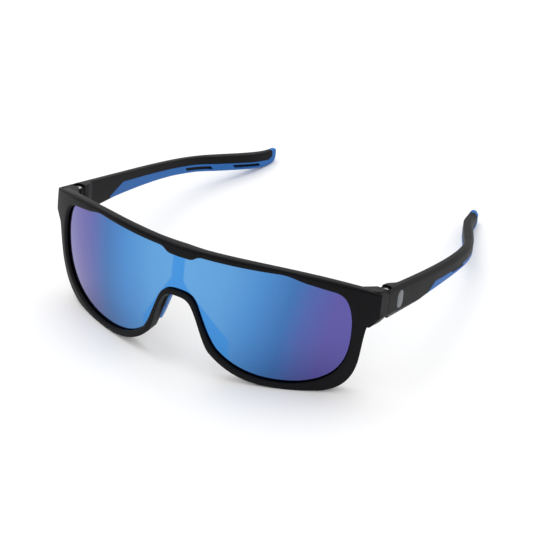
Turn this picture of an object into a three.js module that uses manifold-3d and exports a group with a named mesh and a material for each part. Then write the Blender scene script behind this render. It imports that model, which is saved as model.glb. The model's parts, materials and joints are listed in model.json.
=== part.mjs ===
// Wraparound sport sunglasses with one shield lens, standing on a table.
// Millimetres, +Z up, +X towards the wearer's left, -Y towards what the wearer looks at.
// The left side is built, and the right side is its mirror image.
import * as THREE from "three";
import { mergeVertices } from "three/addons/utils/BufferGeometryUtils.js";
import { TessellateModifier } from "three/addons/modifiers/TessellateModifier.js";
import Module from "manifold-3d";

const wasm = await Module();
wasm.setup();

const GAP = 0.3; // clearance between pieces that seat on each other
const RUNNING_GAP = 0.15; // radial clearance round the hinge screw and its insert

// ---- Driving dimensions: the front ----
const FRONT_HALF_WIDTH = 71.4; // to the outer corner of an end piece
const FRONT_RISE = 30; // height of the front's datum line above the table
const FRONT_LEAN = 3.85; // degrees that the top of the front leans back
const WRAP_RADIUS = 113; // radius of the front face seen from above
const FACE_RADIUS = 137; // radius of the front face seen from the side
const RIM_DEPTH = 5.4; // front face to back face of the rim
const BROW_STEP = 3.6; // depth at which the brow's top edge steps down
const BROW_DROP = 1.9; // height of that step beside the temples
const SIDE_RIM = 3.2; // rim width beside the lens opening
const BOTTOM_RIM = 2.4;
const TOP_RIM = 2.5;
const BRIDGE_RIM = 2.0;
const END_WIDTH = 4.6; // the end piece's overhang past the rim
const END_HEIGHT = 9.0; // height of the end piece's outer corner

// ---- Driving dimensions: the shield lens and its opening ----
const OPENING_HALF_WIDTH = FRONT_HALF_WIDTH - END_WIDTH - SIDE_RIM;
const OPENING_TOP = 20.6; // above the datum line
const OPENING_BOTTOM = -26.3;
const BRIDGE_TOP = 4.8; // top of the nose cut-out in the opening
const BROW_TAB = 2.1; // depth of the tab at the middle of the brow
const LENS_RECESS = 1.5; // lens front below the rim's front face
const LENS_THICKNESS = 1.4;
const LENS_BITE = 1.2; // how far the lens reaches into its groove

// ---- Driving dimensions: temples and grips ----
const TEMPLE_LENGTH = 121; // hinge axis to tip
const TEMPLE_THICKNESS = 3.4;
const TEMPLE_TOP = 4.6; // top edge above the hinge datum, at the axis
const TEMPLE_DROP = 0.189; // fall of the top edge per millimetre of length, at the hinge
const TEMPLE_LIFT = 2.7; // how far the top edge curves up again over 100 mm
const TEMPLE_ROOT_BOTTOM = -9.0; // bottom edge at the hinge axis
const TAIL_HEIGHT = 6.8; // height of the temple's rear half
const TIP_BEND = 21.4; // how far the tip lies inboard of the hinge's outer face
const ROOT_THICKNESS = 5.3; // thickness beside the hinge
const ROOT_LENGTH = 10; // length over which it thins to the temple's own
const GRIP_INNER_START = 31.5; // corner of the grip on the inner face
const GRIP_OUTER_START = 38; // corner of the grip on the outer face
const GRIP_INNER_HEIGHT = 3.2;
const GRIP_OUTER_HEIGHT = 1.9;
const GRIP_WALL = 0.75; // wall of the grip over the temple's web
const TIP_CAP = 5.5; // length of the grip's solid tip
const SLOT_HEIGHT = 1.5;
const INNER_SLOTS = [
  [74, 89],
  [98, 111],
];
const OUTER_SLOT = [54, 68];

// ---- Driving dimensions: hinge ----
const HINGE_LEAN = 7.8; // degrees that the hinge axis leans back
const HINGE_INSET = 3.3; // hinge axis in from the temple's outer face
const HINGE_BACK = 9.8; // hinge axis behind the front corner datum
const HINGE_RISE = 36.2; // hinge datum above the table
const SEAM = -2.35; // joint line between end piece and temple, from the hinge axis
const KNUCKLE_RADIUS = 2.1;
const LEAF = 3.0; // height of each of the three hinge leaves
const LEAF_CENTRE = -1.2; // middle of the middle leaf, from the hinge datum
const SCREW_RADIUS = 0.7;
const SCREW_HEAD_RADIUS = 1.25;
const SCREW_HEAD_HEIGHT = 0.8;
const SCREW_SLOT = 0.35; // width of the driver slot
const INSERT_RADIUS = 1.25;
const INSERT_LENGTH = 2.2;

// ---- Driving dimensions: nose pads and side inlay ----
const PAD_LENGTH = 17.5;
const PAD_WIDTH = 7.6;
const PAD_THICKNESS = 2.8;
const PAD_SPLAY = 14; // degrees that a pad's rear edge is turned outwards
const PAD_ARM_THICKNESS = 1.0;
const INLAY_WIDTH = 4.4;
const INLAY_HEIGHT = 7.2;
const INLAY_THICKNESS = 0.7;
const INLAY_AT = [7.0, -2.2]; // centre of the inlay along and above the hinge datum

const radians = THREE.MathUtils.degToRad;
const frontDepth = WRAP_RADIUS - Math.sqrt(WRAP_RADIUS ** 2 - FRONT_HALF_WIDTH ** 2);

// ---- Solids ----

// A three.js geometry as a manifold solid.
function solid(geometry) {
  const bare = new THREE.BufferGeometry().setAttribute("position", geometry.getAttribute("position"));
  bare.setIndex(geometry.index);
  const merged = mergeVertices(bare, 1e-4);
  return new wasm.Manifold(
    new wasm.Mesh({
      numProp: 3,
      vertProperties: new Float32Array(merged.attributes.position.array),
      triVerts: new Uint32Array(merged.index.array),
    }),
  );
}

// A manifold solid as a three.js geometry.
function geometryOf(body) {
  const mesh = body.getMesh();
  const stride = mesh.numProp;
  const positions = new Float32Array(mesh.numVert * 3);
  for (let i = 0; i < mesh.numVert; i++) {
    positions.set(mesh.vertProperties.subarray(i * stride, i * stride + 3), i * 3);
  }
  const geometry = new THREE.BufferGeometry();
  geometry.setAttribute("position", new THREE.BufferAttribute(positions, 3));
  geometry.setIndex(new THREE.BufferAttribute(new Uint32Array(mesh.triVerts), 1));
  return geometry;
}

const joined = (bodies) => bodies.reduce((sum, body) => sum.add(body));
const cutBy = (body, tools) => tools.reduce((rest, tool) => rest.subtract(tool), body);

// An outline, given as Vector2 points, extruded from z = low to z = high.
function prismGeometry(points, low, high) {
  const geometry = new THREE.ExtrudeGeometry(new THREE.Shape(points), {
    depth: high - low,
    bevelEnabled: false,
  });
  return geometry.translate(0, 0, low);
}

function boxGeometry(low, high) {
  const size = high.map((value, i) => value - low[i]);
  const middle = high.map((value, i) => (value + low[i]) / 2);
  return new THREE.BoxGeometry(...size).translate(...middle);
}

// A cylinder along Z, from z = low to z = high, about (0, 0).
function rodGeometry(radius, low, high, sides = 24) {
  const rod = new THREE.CylinderGeometry(radius, radius, high - low, sides);
  return rod.rotateX(Math.PI / 2).translate(0, 0, (low + high) / 2);
}

const toPoints = (pairs) => pairs.map(([x, y]) => new THREE.Vector2(x, y));
const mirrored = (geometry) => solid(flipped(geometry));

// The mirror image across X = 0, with its faces turned back to point outwards.
function flipped(geometry) {
  const copy = geometry.clone().scale(-1, 1, 1);
  const index = copy.index.array;
  for (let i = 0; i < index.length; i += 3) {
    [index[i + 1], index[i + 2]] = [index[i + 2], index[i + 1]];
  }
  return copy;
}

// ---- The front's shape ----
// Front pieces are drawn flat as seen from in front, x = across, y = above the datum line and
// z = minus the depth behind the front face, and are then wrapped round the face.

const OUTLINE_STEPS = 6; // straight pieces in each curve of an outline
const TESSELLATE_EDGE = 8; // longest edge that is wrapped without being split
const TESSELLATE_PASSES = 16;

function wrapPoint(point) {
  const sinRise = point.y / FACE_RADIUS;
  const cosRise = Math.sqrt(1 - sinRise ** 2);
  const faceRadius = WRAP_RADIUS - FACE_RADIUS * (1 - cosRise);
  const depth = -point.z;
  const radius = faceRadius - depth * cosRise;
  const sinTurn = point.x / faceRadius;
  const cosTurn = Math.sqrt(1 - sinTurn ** 2);
  return point.set(
    radius * sinTurn,
    WRAP_RADIUS - radius * cosTurn,
    point.y - depth * sinRise,
  );
}

const frontToTable = new THREE.Matrix4()
  .makeTranslation(0, -frontDepth, FRONT_RISE)
  .multiply(new THREE.Matrix4().makeRotationX(-radians(FRONT_LEAN)));

// Wraps a flat solid round the face and stands it on the table.
function wrapped(flat) {
  const fine = new TessellateModifier(TESSELLATE_EDGE, TESSELLATE_PASSES).modify(geometryOf(flat));
  const bare = new THREE.BufferGeometry().setAttribute("position", fine.getAttribute("position"));
  const geometry = mergeVertices(bare, 1e-4);
  const positions = geometry.attributes.position;
  const point = new THREE.Vector3();
  for (let i = 0; i < positions.count; i++) {
    wrapPoint(point.fromBufferAttribute(positions, i));
    positions.setXYZ(i, point.x, point.y, point.z);
  }
  return solid(geometry.applyMatrix4(frontToTable));
}

// A symmetric outline from the path of its right half, which runs from the top to the bottom.
function symmetric(half) {
  const left = half.slice(1, -1).map((p) => new THREE.Vector2(-p.x, p.y));
  return half.concat(left.reverse());
}

// The right half of the lens opening, from the middle of the brow round to the nose bridge.
function openingHalf() {
  const w = OPENING_HALF_WIDTH;
  const t = OPENING_TOP;
  const b = OPENING_BOTTOM;
  const n = BRIDGE_TOP;
  const path = new THREE.Path();
  path.moveTo(0, t - BROW_TAB);
  path.lineTo(4, t - 0.95 * BROW_TAB);
  path.bezierCurveTo(6.5, t - 0.9 * BROW_TAB, 6.5, t, 9.5, t);
  path.lineTo(w - 25.8, t);
  path.bezierCurveTo(w - 20.5, t, w - 19, t - 2, w - 13.8, t - 3.1);
  path.lineTo(w - 6.3, t - 5.3);
  path.bezierCurveTo(w - 2.3, t - 6.6, w - 0.8, t - 10.5, w, t - 17.5);
  path.bezierCurveTo(w + 0.3, b + 20, w - 0.8, b + 12.5, w - 5.2, b + 7.3);
  path.bezierCurveTo(w - 8.3, b + 3.5, w - 15, b, w - 24.8, b);
  path.bezierCurveTo(w - 32.8, b, 22.5, b + 2.2, 16, b + 9.2);
  path.bezierCurveTo(12.5, b + 14.2, n + 6, n - 11, n + 3.4, n - 4.6);
  path.bezierCurveTo(n + 1.8, n - 1, n, n, 0, n);
  return path.getPoints(OUTLINE_STEPS);
}

const TRIM = 2; // how far pieces run past the outer corner before they are trimmed to it

// The right half of the rim's outer edge, end piece included.
function rimHalf() {
  const w = OPENING_HALF_WIDTH;
  const e = FRONT_HALF_WIDTH;
  const t = OPENING_TOP + TOP_RIM;
  const b = OPENING_BOTTOM - BOTTOM_RIM;
  const n = BRIDGE_TOP - BRIDGE_RIM;
  const side = w + SIDE_RIM;
  const corner = t - 8.4;
  const path = new THREE.Path();
  path.moveTo(0, t);
  path.bezierCurveTo(e - 43.4, t + 0.6, e - 21.4, t + 0.8, e, corner);
  path.lineTo(e + TRIM, corner - 0.45 * TRIM);
  path.lineTo(e + TRIM, corner - END_HEIGHT + 0.9 * TRIM);
  path.lineTo(side + 1.6, corner - END_HEIGHT - 3);
  path.bezierCurveTo(side + 0.6, corner - END_HEIGHT - 5.5, side + 0.1, b + 21.2, side - 0.9, b + 15.7);
  path.bezierCurveTo(side - 2.7, b + 6.7, side - 6.8, b + 1.3, side - 15.3, b + 0.6);
  path.bezierCurveTo(side - 20.3, b + 0.1, w - 20, b, w - 25.8, b);
  path.bezierCurveTo(w - 35.8, b, 20, b + 3, 13.2, b + 10.8);
  path.bezierCurveTo(10.8, b + 14.6, n + 7, n - 10, n + 4.3, n - 4.4);
  path.bezierCurveTo(n + 2.6, n - 0.7, n + 1, n, 0, n);
  return path.getPoints(OUTLINE_STEPS);
}

// The right half of what is taken off the top of the brow behind its step.
function browStepHalf() {
  const e = FRONT_HALF_WIDTH;
  const t = OPENING_TOP + TOP_RIM;
  const corner = t - 8.4;
  const path = new THREE.Path();
  path.moveTo(0, t + 6);
  path.lineTo(e + 2 * TRIM, t + 6);
  path.lineTo(e + 2 * TRIM, corner - 0.3 * BROW_DROP);
  path.lineTo(e, corner - 0.3 * BROW_DROP);
  path.bezierCurveTo(e - 21.4, t + 0.6 - 1.5 * BROW_DROP, e - 43.4, t + 0.6 - 0.8 * BROW_DROP, 0, t - 0.3);
  return path.getPoints(OUTLINE_STEPS);
}

// Moves an open outline sideways by a distance, keeping its ends on the centre line.
function grown(half, distance) {
  return half.map((p, i) => {
    const before = half[Math.max(i - 1, 0)];
    const after = half[Math.min(i + 1, half.length - 1)];
    const along = after.clone().sub(before).normalize();
    const moved = new THREE.Vector2(p.x - along.y * distance, p.y + along.x * distance);
    if (i === 0 || i === half.length - 1) moved.x = 0;
    return moved;
  });
}

const openingOutline = symmetric(openingHalf());
const lensOutline = symmetric(grown(openingHalf(), LENS_BITE));
const grooveOutline = symmetric(grown(openingHalf(), LENS_BITE + GAP));
const rimOutline = symmetric(rimHalf());
const browStepOutline = symmetric(browStepHalf());

const OPENING_CUT = 20; // depth that is kept clear behind the opening
const plate = (outline, front, back) => solid(prismGeometry(outline, -back, -front));

// ---- The side's shape ----
// Side pieces are drawn in the hinge's own frame: x outwards from the axis, y along the temple
// and z along the hinge axis.

const hingeX = FRONT_HALF_WIDTH - HINGE_INSET;
const hingeToTable = new THREE.Matrix4()
  .makeTranslation(hingeX, HINGE_BACK, HINGE_RISE)
  .multiply(new THREE.Matrix4().makeRotationX(-radians(HINGE_LEAN)));
// Turns a side view, drawn as x = along and y = above, so that it is extruded across the temple.
const sideView = new THREE.Matrix4().makeBasis(
  new THREE.Vector3(0, 1, 0),
  new THREE.Vector3(0, 0, 1),
  new THREE.Vector3(1, 0, 0),
);
const FAR = 60; // past anything on the side
const acrossGeometry = (points, low, high) => prismGeometry(points, low, high).applyMatrix4(sideView);
const across = (points, low, high) => solid(acrossGeometry(points, low, high));

const topAt = (along) => TEMPLE_TOP - TEMPLE_DROP * along + TEMPLE_LIFT * (along / 100) ** 2;
const tailBottomAt = (along) => topAt(along) - TAIL_HEIGHT;

// Side view of the whole arm, end piece and temple together, running forward past the front.
function armSideView() {
  const l = TEMPLE_LENGTH;
  const path = new THREE.Path();
  path.moveTo(-FAR, topAt(0) + TEMPLE_DROP * FAR);
  for (let along = 0; along < l - 10; along += 15) path.lineTo(along, topAt(along));
  path.lineTo(l - 2, topAt(l - 2));
  path.quadraticCurveTo(l, topAt(l), l, topAt(l) - 1.8);
  path.bezierCurveTo(l - 0.5, topAt(l) - 5.5, l - 4, tailBottomAt(l - 5), l - 9, tailBottomAt(l - 9));
  for (let along = l - 24; along > 60; along -= 15) path.lineTo(along, tailBottomAt(along));
  path.lineTo(58, tailBottomAt(58));
  path.bezierCurveTo(48, tailBottomAt(48), 38, -9.6, 24, TEMPLE_ROOT_BOTTOM - 0.5);
  path.lineTo(0, TEMPLE_ROOT_BOTTOM);
  path.lineTo(-FAR, TEMPLE_ROOT_BOTTOM + 2.6);
  return path.getPoints(6);
}

// Plan view of the temple's outer face, from the seam to past the tip.
const outerFace = new THREE.CubicBezierCurve(
  new THREE.Vector2(HINGE_INSET, SEAM),
  new THREE.Vector2(HINGE_INSET, TEMPLE_LENGTH - 35),
  new THREE.Vector2(HINGE_INSET - 6.2, TEMPLE_LENGTH - 40),
  new THREE.Vector2(HINGE_INSET - TIP_BEND - 3.6, TEMPLE_LENGTH + 3),
);

const FACE_STEPS = 26; // straight pieces in the outer face's curve

// The curve parameter at which the outer face has come a given distance along the temple.
function faceParameter(along) {
  let low = 0;
  let high = 1;
  for (let pass = 0; pass < 30; pass++) {
    const half = (low + high) / 2;
    if (outerFace.getPoint(half).y < along) low = half;
    else high = half;
  }
  return (low + high) / 2;
}

// Plan outline of the layer between two depths below the outer face, from one length to another.
function layerPlan(from, to, shallow, deep) {
  const start = faceParameter(from);
  const end = faceParameter(to);
  const even = Array.from({ length: FACE_STEPS }, (_, i) => i / FACE_STEPS);
  const inside = even.filter((t) => t > start + 1e-3 && t < end - 1e-3);
  const near = [];
  const far = [];
  for (const t of [start, ...inside, end]) {
    const point = outerFace.getPoint(t);
    const along = outerFace.getTangent(t);
    near.push(new THREE.Vector2(point.x - along.y * shallow, point.y + along.x * shallow));
    far.push(new THREE.Vector2(point.x - along.y * deep, point.y + along.x * deep));
  }
  return near.concat(far.reverse());
}

const layer = (from, to, shallow, deep) => solid(prismGeometry(layerPlan(from, to, shallow, deep), -FAR, FAR));

// The underside chamfer, which runs out where the temple has thinned.
const CHAMFER_START = new THREE.Vector3(HINGE_INSET, -10.9, -3.6);
const CHAMFER_END = new THREE.Vector3(HINGE_INSET, 27, TEMPLE_ROOT_BOTTOM - 0.6);
const CHAMFER_INBOARD = new THREE.Vector3(HINGE_INSET - 3.6, -12.5, -8.3);

function chamferTool() {
  const along = CHAMFER_END.clone().sub(CHAMFER_START).normalize();
  const down = CHAMFER_INBOARD.clone().sub(CHAMFER_START);
  const out = down.clone().cross(along).normalize();
  if (out.x < 0) out.negate();
  const side = out.clone().cross(along);
  const matrix = new THREE.Matrix4().makeBasis(along, side, out).setPosition(CHAMFER_START);
  return solid(boxGeometry([-FAR, -FAR, 0], [FAR, FAR, FAR]).applyMatrix4(matrix));
}

// ---- Hinge ----
const leafPitch = LEAF + GAP;
const leafLow = (index) => LEAF_CENTRE - LEAF / 2 + index * leafPitch; // -1 lower, 0 middle, 1 upper

// A hinge leaf: a knuckle with an arm that runs from the axis to y = reach. The arm's inner side is
// relieved, so that the other half's root clears it when the temple folds.
function leaf(index, reach) {
  const low = leafLow(index);
  const knuckle = solid(rodGeometry(KNUCKLE_RADIUS, low, low + LEAF));
  const side = Math.sign(reach);
  const rootReach = ROOT_THICKNESS - HINGE_INSET + GAP;
  const plan = toPoints([
    [KNUCKLE_RADIUS, reach],
    [KNUCKLE_RADIUS, 0],
    [0, 0],
    [-0.57 * KNUCKLE_RADIUS, 0.9 * KNUCKLE_RADIUS * side],
    [-KNUCKLE_RADIUS, rootReach * side],
    [-KNUCKLE_RADIUS, reach],
  ]);
  return knuckle.add(solid(prismGeometry(plan, low, low + LEAF)));
}

const screwTop = leafLow(1) + LEAF; // top face of the upper leaf
const screwBore = () => solid(rodGeometry(SCREW_RADIUS + RUNNING_GAP, -FAR, FAR));
const headPocket = () =>
  solid(rodGeometry(SCREW_HEAD_RADIUS + RUNNING_GAP, screwTop - SCREW_HEAD_HEIGHT - RUNNING_GAP, FAR));
const insertPocket = () =>
  solid(rodGeometry(INSERT_RADIUS + RUNNING_GAP, -FAR, leafLow(-1) + INSERT_LENGTH + RUNNING_GAP));

function hingeScrew() {
  const head = rodGeometry(SCREW_HEAD_RADIUS, screwTop - SCREW_HEAD_HEIGHT, screwTop);
  const shank = rodGeometry(SCREW_RADIUS, leafLow(-1) + 0.4, screwTop - 0.1);
  const slot = boxGeometry(
    [-FAR, -SCREW_SLOT / 2, screwTop - SCREW_HEAD_HEIGHT / 2],
    [FAR, SCREW_SLOT / 2, FAR],
  );
  return solid(head).add(solid(shank)).subtract(solid(slot));
}

function hingeInsert() {
  const body = solid(rodGeometry(INSERT_RADIUS, leafLow(-1) + 0.1, leafLow(-1) + INSERT_LENGTH));
  return body.subtract(screwBore());
}

// ---- Temple and grip ----
const gripLine = (along, height) => tailBottomAt(along) + height;

// Side view of all that lies below the grip's upper edge, lowered by a clearance.
function gripSideView(start, height, clearance) {
  const corner = gripLine(start, height) - clearance;
  const end = TEMPLE_LENGTH - TIP_CAP + clearance;
  return toPoints([
    [start - 9 + clearance, -FAR],
    [start - 9 + clearance, corner - 3.4],
    [start + clearance, corner],
    [end, gripLine(end, height) - clearance],
    [end + 2, gripLine(end, height) + 1.2 - clearance],
    [end, FAR],
    [TEMPLE_LENGTH + FAR, FAR],
    [TEMPLE_LENGTH + FAR, -FAR],
  ]);
}

const middle = TEMPLE_THICKNESS / 2;
const wholeArm = () => across(armSideView(), -FAR, FAR);

// The grip's share of the temple, shrunk by a clearance along its border with the temple.
function gripSpace(clearance) {
  const inner = layer(-FAR, 2 * TEMPLE_LENGTH, middle, TEMPLE_THICKNESS);
  const outer = layer(-FAR, 2 * TEMPLE_LENGTH, 0, middle);
  return inner
    .intersect(across(gripSideView(GRIP_INNER_START, GRIP_INNER_HEIGHT, clearance), -FAR, FAR))
    .add(outer.intersect(across(gripSideView(GRIP_OUTER_START, GRIP_OUTER_HEIGHT, clearance), -FAR, FAR)));
}

// The temple's thin web inside the grip, grown by a clearance.
function web(clearance) {
  const start = GRIP_INNER_START - 14;
  const end = TEMPLE_LENGTH - TIP_CAP + 1 + clearance;
  const low = 1.3 - clearance;
  const sheet = layer(start, end, GRIP_WALL + GAP - clearance, TEMPLE_THICKNESS - GRIP_WALL - GAP + clearance);
  const view = toPoints([
    [start, TEMPLE_ROOT_BOTTOM + 1],
    [40, tailBottomAt(40) + 1.6 - clearance],
    [end, tailBottomAt(end) + low],
    [end, topAt(end) - 2],
    [start, topAt(start) - 2],
  ]);
  return sheet.intersect(across(view, -FAR, FAR));
}

// A rib or window of one slot, between two depths below the outer face.
function slotLayer([from, to], shallow, deep, clearance) {
  const centre = (along) => tailBottomAt(along) + 1.9;
  const half = SLOT_HEIGHT / 2 + clearance;
  const view = toPoints([
    [from - clearance, centre(from) - half],
    [to + clearance, centre(to) - half],
    [to + clearance, centre(to) + half],
    [from - clearance, centre(from) + half],
  ]);
  return layer(from - 8, to + 8, shallow, deep).intersect(across(view, -FAR, FAR));
}

const inlayPlate = (clearance) => {
  const half = INLAY_WIDTH / 2;
  const rise = INLAY_HEIGHT / 2 - half;
  const [along, above] = INLAY_AT;
  const path = new THREE.Path();
  path.absarc(along, above + rise, half + clearance, 0, Math.PI);
  path.absarc(along, above - rise, half + clearance, Math.PI, 2 * Math.PI);
  const deep = HINGE_INSET - INLAY_THICKNESS - clearance;
  return across(path.getPoints(12).slice(0, -1), deep, HINGE_INSET + (clearance ? FAR : 0.1));
};

function templeBody() {
  const blade = layer(SEAM + GAP / 2, 2 * TEMPLE_LENGTH, 0, TEMPLE_THICKNESS);
  const skinDepth = HINGE_INSET - KNUCKLE_RADIUS - GAP;
  const inner = HINGE_INSET - ROOT_THICKNESS;
  const root = prismGeometry(
    toPoints([
      [HINGE_INSET, SEAM + GAP / 2],
      [HINGE_INSET, ROOT_LENGTH],
      [HINGE_INSET - TEMPLE_THICKNESS, ROOT_LENGTH],
      [inner, 0.4 * ROOT_LENGTH],
      [inner, SEAM + GAP / 2],
    ]),
    -FAR,
    FAR,
  );
  const hingeRoom = boxGeometry([-FAR, -FAR, -FAR], [HINGE_INSET - skinDepth, 0, FAR]);
  const barrelRoom = rodGeometry(KNUCKLE_RADIUS + GAP, -FAR, FAR);
  const shell = cutBy(blade.add(solid(root)), [solid(hingeRoom), solid(barrelRoom), gripSpace(0)]);
  const ribs = INNER_SLOTS.map((slot) => slotLayer(slot, middle, TEMPLE_THICKNESS - 0.1, 0));
  ribs.push(slotLayer(OUTER_SLOT, 0.1, middle, 0));
  const upper = shell.intersect(wholeArm()).subtract(chamferTool());
  return joined([upper, web(0), leaf(0, 4), ...ribs]).subtract(screwBore()).subtract(inlayPlate(RUNNING_GAP));
}

function templeGrip() {
  const windows = INNER_SLOTS.map((slot) => slotLayer(slot, middle, 2 * TEMPLE_THICKNESS, GAP));
  windows.push(slotLayer(OUTER_SLOT, -TEMPLE_THICKNESS, middle, GAP));
  const skin = gripSpace(GAP).intersect(wholeArm()).subtract(chamferTool());
  return cutBy(skin, [web(GAP), ...windows]);
}

// ---- Front frame, lens and nose pads ----

// One end piece behind the rim, in the hinge frame: the arm's side view, cut to its plan.
function endBlock() {
  const inner = HINGE_INSET - ROOT_THICKNESS;
  const outer = HINGE_INSET + TRIM;
  const plan = toPoints([
    [outer, SEAM - GAP / 2],
    [inner, SEAM - GAP / 2],
    [inner - 3.4, -8.5],
    [inner - 6.4, -14.5],
    [outer, -6.2],
  ]);
  return solid(prismGeometry(plan, -FAR, FAR)).intersect(wholeArm()).subtract(chamferTool());
}

const toTable = (body) => solid(geometryOf(body).applyMatrix4(hingeToTable));

// What the left side adds to the rim: the end piece, its two hinge leaves and the pad arm.
function leftAdditions() {
  const leaves = [leaf(-1, SEAM - 1), leaf(1, SEAM - 1)];
  const hingeSide = cutBy(joined([endBlock(), ...leaves]), [screwBore(), headPocket(), insertPocket()]);
  return joined([toTable(hingeSide), padArm(0)]);
}

// The pad frame: x down along the pad, y across it towards the wearer, z away from the nose.
function padMatrix() {
  const along = new THREE.Vector3(0.36, 0, -0.93).normalize();
  const turn = radians(PAD_SPLAY);
  const back = new THREE.Vector3(Math.sin(turn), Math.cos(turn), 0);
  const outwards = along.clone().cross(back).normalize();
  const backwards = outwards.clone().cross(along);
  const start = wrapPoint(new THREE.Vector3(10.6, BRIDGE_TOP - 13.5, -RIM_DEPTH - 0.9));
  start.applyMatrix4(frontToTable).addScaledVector(backwards, PAD_WIDTH / 2);
  return new THREE.Matrix4().makeBasis(along, backwards, outwards).setPosition(start);
}

function padArm(clearance) {
  const half = PAD_LENGTH / 2 - 2.2 + clearance;
  const thick = PAD_ARM_THICKNESS / 2 + clearance;
  const geometry = boxGeometry([-half, -PAD_WIDTH / 2 - 2.2, -thick], [half, PAD_WIDTH / 2 - 1.8 + clearance, thick]);
  return solid(geometry.applyMatrix4(padMatrix()));
}

function nosePad() {
  const corner = PAD_WIDTH / 2 - 0.6;
  const bevel = 0.6;
  const length = PAD_LENGTH / 2 - bevel;
  const path = new THREE.Path();
  path.absarc(length - corner, 0, corner, -Math.PI / 2, Math.PI / 2);
  path.absarc(corner - length, 0, corner, Math.PI / 2, 1.5 * Math.PI);
  const geometry = new THREE.ExtrudeGeometry(new THREE.Shape(path.getPoints(8).slice(0, -1)), {
    depth: PAD_THICKNESS - 2 * bevel,
    bevelSize: bevel,
    bevelThickness: bevel,
    bevelSegments: 2,
  });
  const pad = geometry.translate(0, 0, bevel - PAD_THICKNESS / 2).applyMatrix4(padMatrix());
  return solid(pad).subtract(padArm(GAP));
}

function frontFrame() {
  const additions = leftAdditions();
  const rim = plate(rimOutline, 0, RIM_DEPTH).subtract(plate(browStepOutline, BROW_STEP, 2 * RIM_DEPTH));
  const whole = joined([wrapped(rim), additions, mirrored(geometryOf(additions))]);
  const opening = wrapped(plate(openingOutline, -1, OPENING_CUT));
  const groove = wrapped(plate(grooveOutline, LENS_RECESS - GAP, LENS_RECESS + LENS_THICKNESS + GAP));
  const width = boxGeometry([-FRONT_HALF_WIDTH, -FAR * 3, -FAR], [FRONT_HALF_WIDTH, FAR * 3, FAR * 3]);
  return cutBy(whole, [opening, groove]).intersect(solid(width));
}

const shieldLens = () => wrapped(plate(lensOutline, LENS_RECESS, LENS_RECESS + LENS_THICKNESS));

// ---- Materials ----
const finish = (color, roughness, metalness = 0) => new THREE.MeshStandardMaterial({ color, roughness, metalness });
const matteBlack = finish(0x1b1c1f, 0.55);
const softBlue = finish(0x1f6fc4, 0.6);
const mirrorBlue = finish(0x3c86d8, 0.08, 0.9);
const steel = finish(0xc8cacc, 0.3, 1);
const brass = finish(0xc9a14a, 0.35, 1);
const satinSilver = finish(0x8d9196, 0.4, 0.8);

// ---- Assembly ----
const glasses = new THREE.Group();

function addMesh(name, body, material, parent = glasses) {
  const mesh = new THREE.Mesh(geometryOf(body), material);
  mesh.name = name;
  parent.add(mesh);
}

addMesh("front_frame", frontFrame(), matteBlack);
addMesh("shield_lens", shieldLens(), mirrorBlue);

const sidePieces = {
  temple: [templeBody(), matteBlack],
  temple_grip: [templeGrip(), softBlue],
  hinge_screw: [hingeScrew(), steel],
  hinge_insert: [hingeInsert(), brass],
  side_inlay: [inlayPlate(0), satinSilver],
};
const pad = nosePad();

for (const [side, sign] of [["left", 1], ["right", -1]]) {
  const mirror = new THREE.Group();
  mirror.scale.x = sign;
  glasses.add(mirror);
  const hinge = new THREE.Group();
  hinge.applyMatrix4(hingeToTable);
  mirror.add(hinge);
  for (const [name, [body, material]] of Object.entries(sidePieces)) {
    addMesh(`${name}_${side}`, body, material, hinge);
  }
  addMesh(`nose_pad_${side}`, pad, softBlue, mirror);
}

// The origin is under the middle of the glasses' box, on the table.
glasses.updateMatrixWorld(true);
const bounds = new THREE.Box3().setFromObject(glasses, true);
const root = new THREE.Group();
root.add(glasses);
glasses.position.set(0, -(bounds.min.y + bounds.max.y) / 2, -bounds.min.z);

export default root;
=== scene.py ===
import json
import logging
import math
from dataclasses import dataclass, field
from enum import Enum
from typing import Any, Callable, Iterable, Mapping, Sequence

import bmesh
import bpy
import numpy as np
from mathutils import Matrix, Vector


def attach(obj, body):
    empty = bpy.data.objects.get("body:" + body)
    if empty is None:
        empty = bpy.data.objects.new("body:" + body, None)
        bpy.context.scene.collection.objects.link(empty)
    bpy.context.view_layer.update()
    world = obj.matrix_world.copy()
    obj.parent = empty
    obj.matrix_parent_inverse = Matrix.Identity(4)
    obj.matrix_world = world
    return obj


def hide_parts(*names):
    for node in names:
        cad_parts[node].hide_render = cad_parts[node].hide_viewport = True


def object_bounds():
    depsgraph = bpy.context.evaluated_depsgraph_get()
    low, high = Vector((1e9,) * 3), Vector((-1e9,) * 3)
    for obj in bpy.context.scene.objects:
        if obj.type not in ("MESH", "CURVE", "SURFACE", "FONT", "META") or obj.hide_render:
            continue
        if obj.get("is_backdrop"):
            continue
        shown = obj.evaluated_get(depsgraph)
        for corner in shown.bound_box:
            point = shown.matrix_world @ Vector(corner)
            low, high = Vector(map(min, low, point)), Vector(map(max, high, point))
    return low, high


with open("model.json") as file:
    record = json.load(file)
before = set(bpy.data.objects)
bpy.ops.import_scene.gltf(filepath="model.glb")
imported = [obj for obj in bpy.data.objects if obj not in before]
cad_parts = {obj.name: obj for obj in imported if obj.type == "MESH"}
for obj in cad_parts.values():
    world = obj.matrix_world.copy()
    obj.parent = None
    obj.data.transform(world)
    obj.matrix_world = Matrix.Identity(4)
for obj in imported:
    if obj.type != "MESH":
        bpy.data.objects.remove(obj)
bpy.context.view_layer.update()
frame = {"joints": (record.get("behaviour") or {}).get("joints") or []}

log = logging.getLogger("glasses")

MILLIMETRE = 0.001
FAR = 60.0  # past anything on one side, in millimetres
SHARP_EDGE = math.radians(34)  # faces that meet at more than this keep a crisp edge

Points = np.ndarray
Colour = tuple[float, float, float]


class Cut(Enum):
    """How two closed bodies are combined."""

    JOIN = "UNION"
    REMOVE = "DIFFERENCE"
    KEEP_COMMON = "INTERSECT"


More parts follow.
